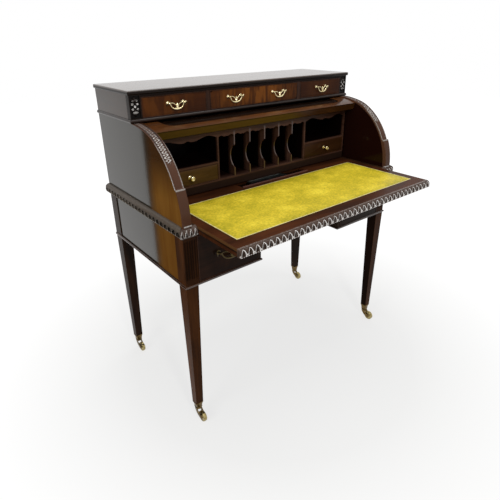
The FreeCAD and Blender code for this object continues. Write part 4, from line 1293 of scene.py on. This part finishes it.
def white_sky():
    """White where it is seen or mirrored, and a softer fill for the rest."""
    world = bpy.data.worlds.new("studio_white")
    world.use_nodes = True
    tree = world.node_tree
    tree.nodes.clear()
    strength = ramp(tree, seen_rays(tree), first=0.25, last=1.0)
    back = add(tree, "Background", {"Color": (1, 1, 1, 1), "Strength": strength})
    add(tree, "OutputWorld", {"Surface": back})
    bpy.context.scene.world = world


def stand(name, data, place, right, up, back):
    """Put a lamp or a camera at a place, by the directions of its own axes."""
    made = bpy.data.objects.new(name, data)
    bpy.context.scene.collection.objects.link(made)
    turn = np.stack([right, up, back], 1).tolist()
    made.matrix_world = Matrix([(*line, spot) for line, spot in zip(turn, place)] + [(0, 0, 0, 1)])
    return made


def soft_box(name, place, target, wide, high, watts):
    """A lamp that faces its target and stays out of the picture."""
    data = bpy.data.lights.new(name, "AREA")
    data.shape = "RECTANGLE"
    data.size = wide
    data.size_y = high
    data.energy = watts
    back = np.array(place) - np.array(target)
    back = back / np.linalg.norm(back)
    side = np.cross((0, 0, 1), back)
    side = side / np.linalg.norm(side)
    stand(name, data, place, side, np.cross(back, side), back).visible_camera = False


def photo_camera():
    """The photograph's camera, as solved from the desk's own corners."""
    place = (-1.0465, -1.1659, 1.2755)
    yaw, pitch, roll = -0.6768, -0.4238, -0.0079
    ahead = np.array((-math.sin(yaw) * math.cos(pitch), math.cos(yaw) * math.cos(pitch), math.sin(pitch)))
    level = np.array((math.cos(yaw), math.sin(yaw), 0))
    over = np.cross(level, ahead)
    right = math.cos(roll) * level + math.sin(roll) * over
    up = -math.sin(roll) * level + math.cos(roll) * over
    data = bpy.data.cameras.new("photo_camera")
    data.sensor_width = 36
    data.lens = 30.864
    data.shift_x = -0.0053
    data.shift_y = -0.0442
    bpy.context.scene.camera = stand("photo_camera", data, place, right, up, -ahead)


class DESK_OT_stage(bpy.types.Operator):
    """Set the floor, the light and the camera"""
    bl_idname = "desk.stage"
    bl_label = "Stage"

    def execute(self, context):
        context.scene.view_settings.view_transform = "Standard"
        floor_paint("studio_paint_matt")
        grid = np.linspace(-9, 9, 3)
        stage_sheet("studio_floor", stack(grid[:, None], grid[None], np.zeros((1, 1))), "studio_paint_matt")
        # A black card beside the desk, seen only in polish, paints a dark reflection over the front half of
        # the left side.
        black_velvet("black_velvet")
        card = stack(-0.75, np.array([[-0.2], [0.587]]), np.array([[0.0, 1.3]]))
        flag = stage_sheet("black_flag", card, "black_velvet")
        flag.visible_camera = False
        flag.visible_diffuse = False
        flag.visible_shadow = False
        white_sky()
        soft_box("key_lamp", (-1.0, -2.5, 2.6), (0, -0.1, 0.75), 0.3, 0.3, 23)
        soft_box("top_softbox", (0.3, 0.0, 3.0), (0.1, 0.0, 0.8), 2.2, 1.8, 38)
        soft_box("left_softbox", (-2.8, -0.6, 1.6), (-0.3, 0.0, 0.7), 1.2, 1.2, 24)
        photo_camera()
        return {"FINISHED"}


steps = (DESK_OT_timber, DESK_OT_carved_edges, DESK_OT_arch_facings, DESK_OT_top_stiles, DESK_OT_fluted_legs,
         DESK_OT_drawer_fronts, DESK_OT_handles, DESK_OT_knobs, DESK_OT_casters, DESK_OT_leather_top,
         DESK_OT_pen_tray, DESK_OT_cylinder_fall, DESK_OT_stage)


class DESK_PT_dressing(bpy.types.Panel):
    """The desk's settings and the steps that dress it"""
    bl_idname = "DESK_PT_dressing"
    bl_label = "Cylinder desk"
    bl_space_type = "VIEW_3D"
    bl_region_type = "UI"
    bl_category = "Desk"

    def draw(self, context):
        sidebar = self.layout.column()
        for group in (context.scene.desk_sizes, context.scene.desk_colours):
            for name in group.__annotations__:
                sidebar.prop(group, name)
        for step in steps:
            sidebar.operator(step.bl_idname)


classes = (DeskSizes, DeskColours, *steps, DESK_PT_dressing)


def register():
    for each in classes:
        bpy.utils.register_class(each)
    bpy.types.Scene.desk_sizes = PointerProperty(type=DeskSizes)
    bpy.types.Scene.desk_colours = PointerProperty(type=DeskColours)


def unregister():
    del bpy.types.Scene.desk_colours
    del bpy.types.Scene.desk_sizes
    for each in reversed(classes):
        bpy.utils.unregister_class(each)


def main():
    register()
    bpy.ops.desk.timber()
    bpy.ops.desk.carved_edges()
    bpy.ops.desk.arch_facings()
    bpy.ops.desk.top_stiles()
    bpy.ops.desk.fluted_legs()
    bpy.ops.desk.drawer_fronts()
    bpy.ops.desk.handles()
    bpy.ops.desk.knobs()
    bpy.ops.desk.casters()
    bpy.ops.desk.leather_top()
    bpy.ops.desk.pen_tray()
    bpy.ops.desk.cylinder_fall()
    bpy.ops.desk.stage()


if __name__ == "__main__":
    main()
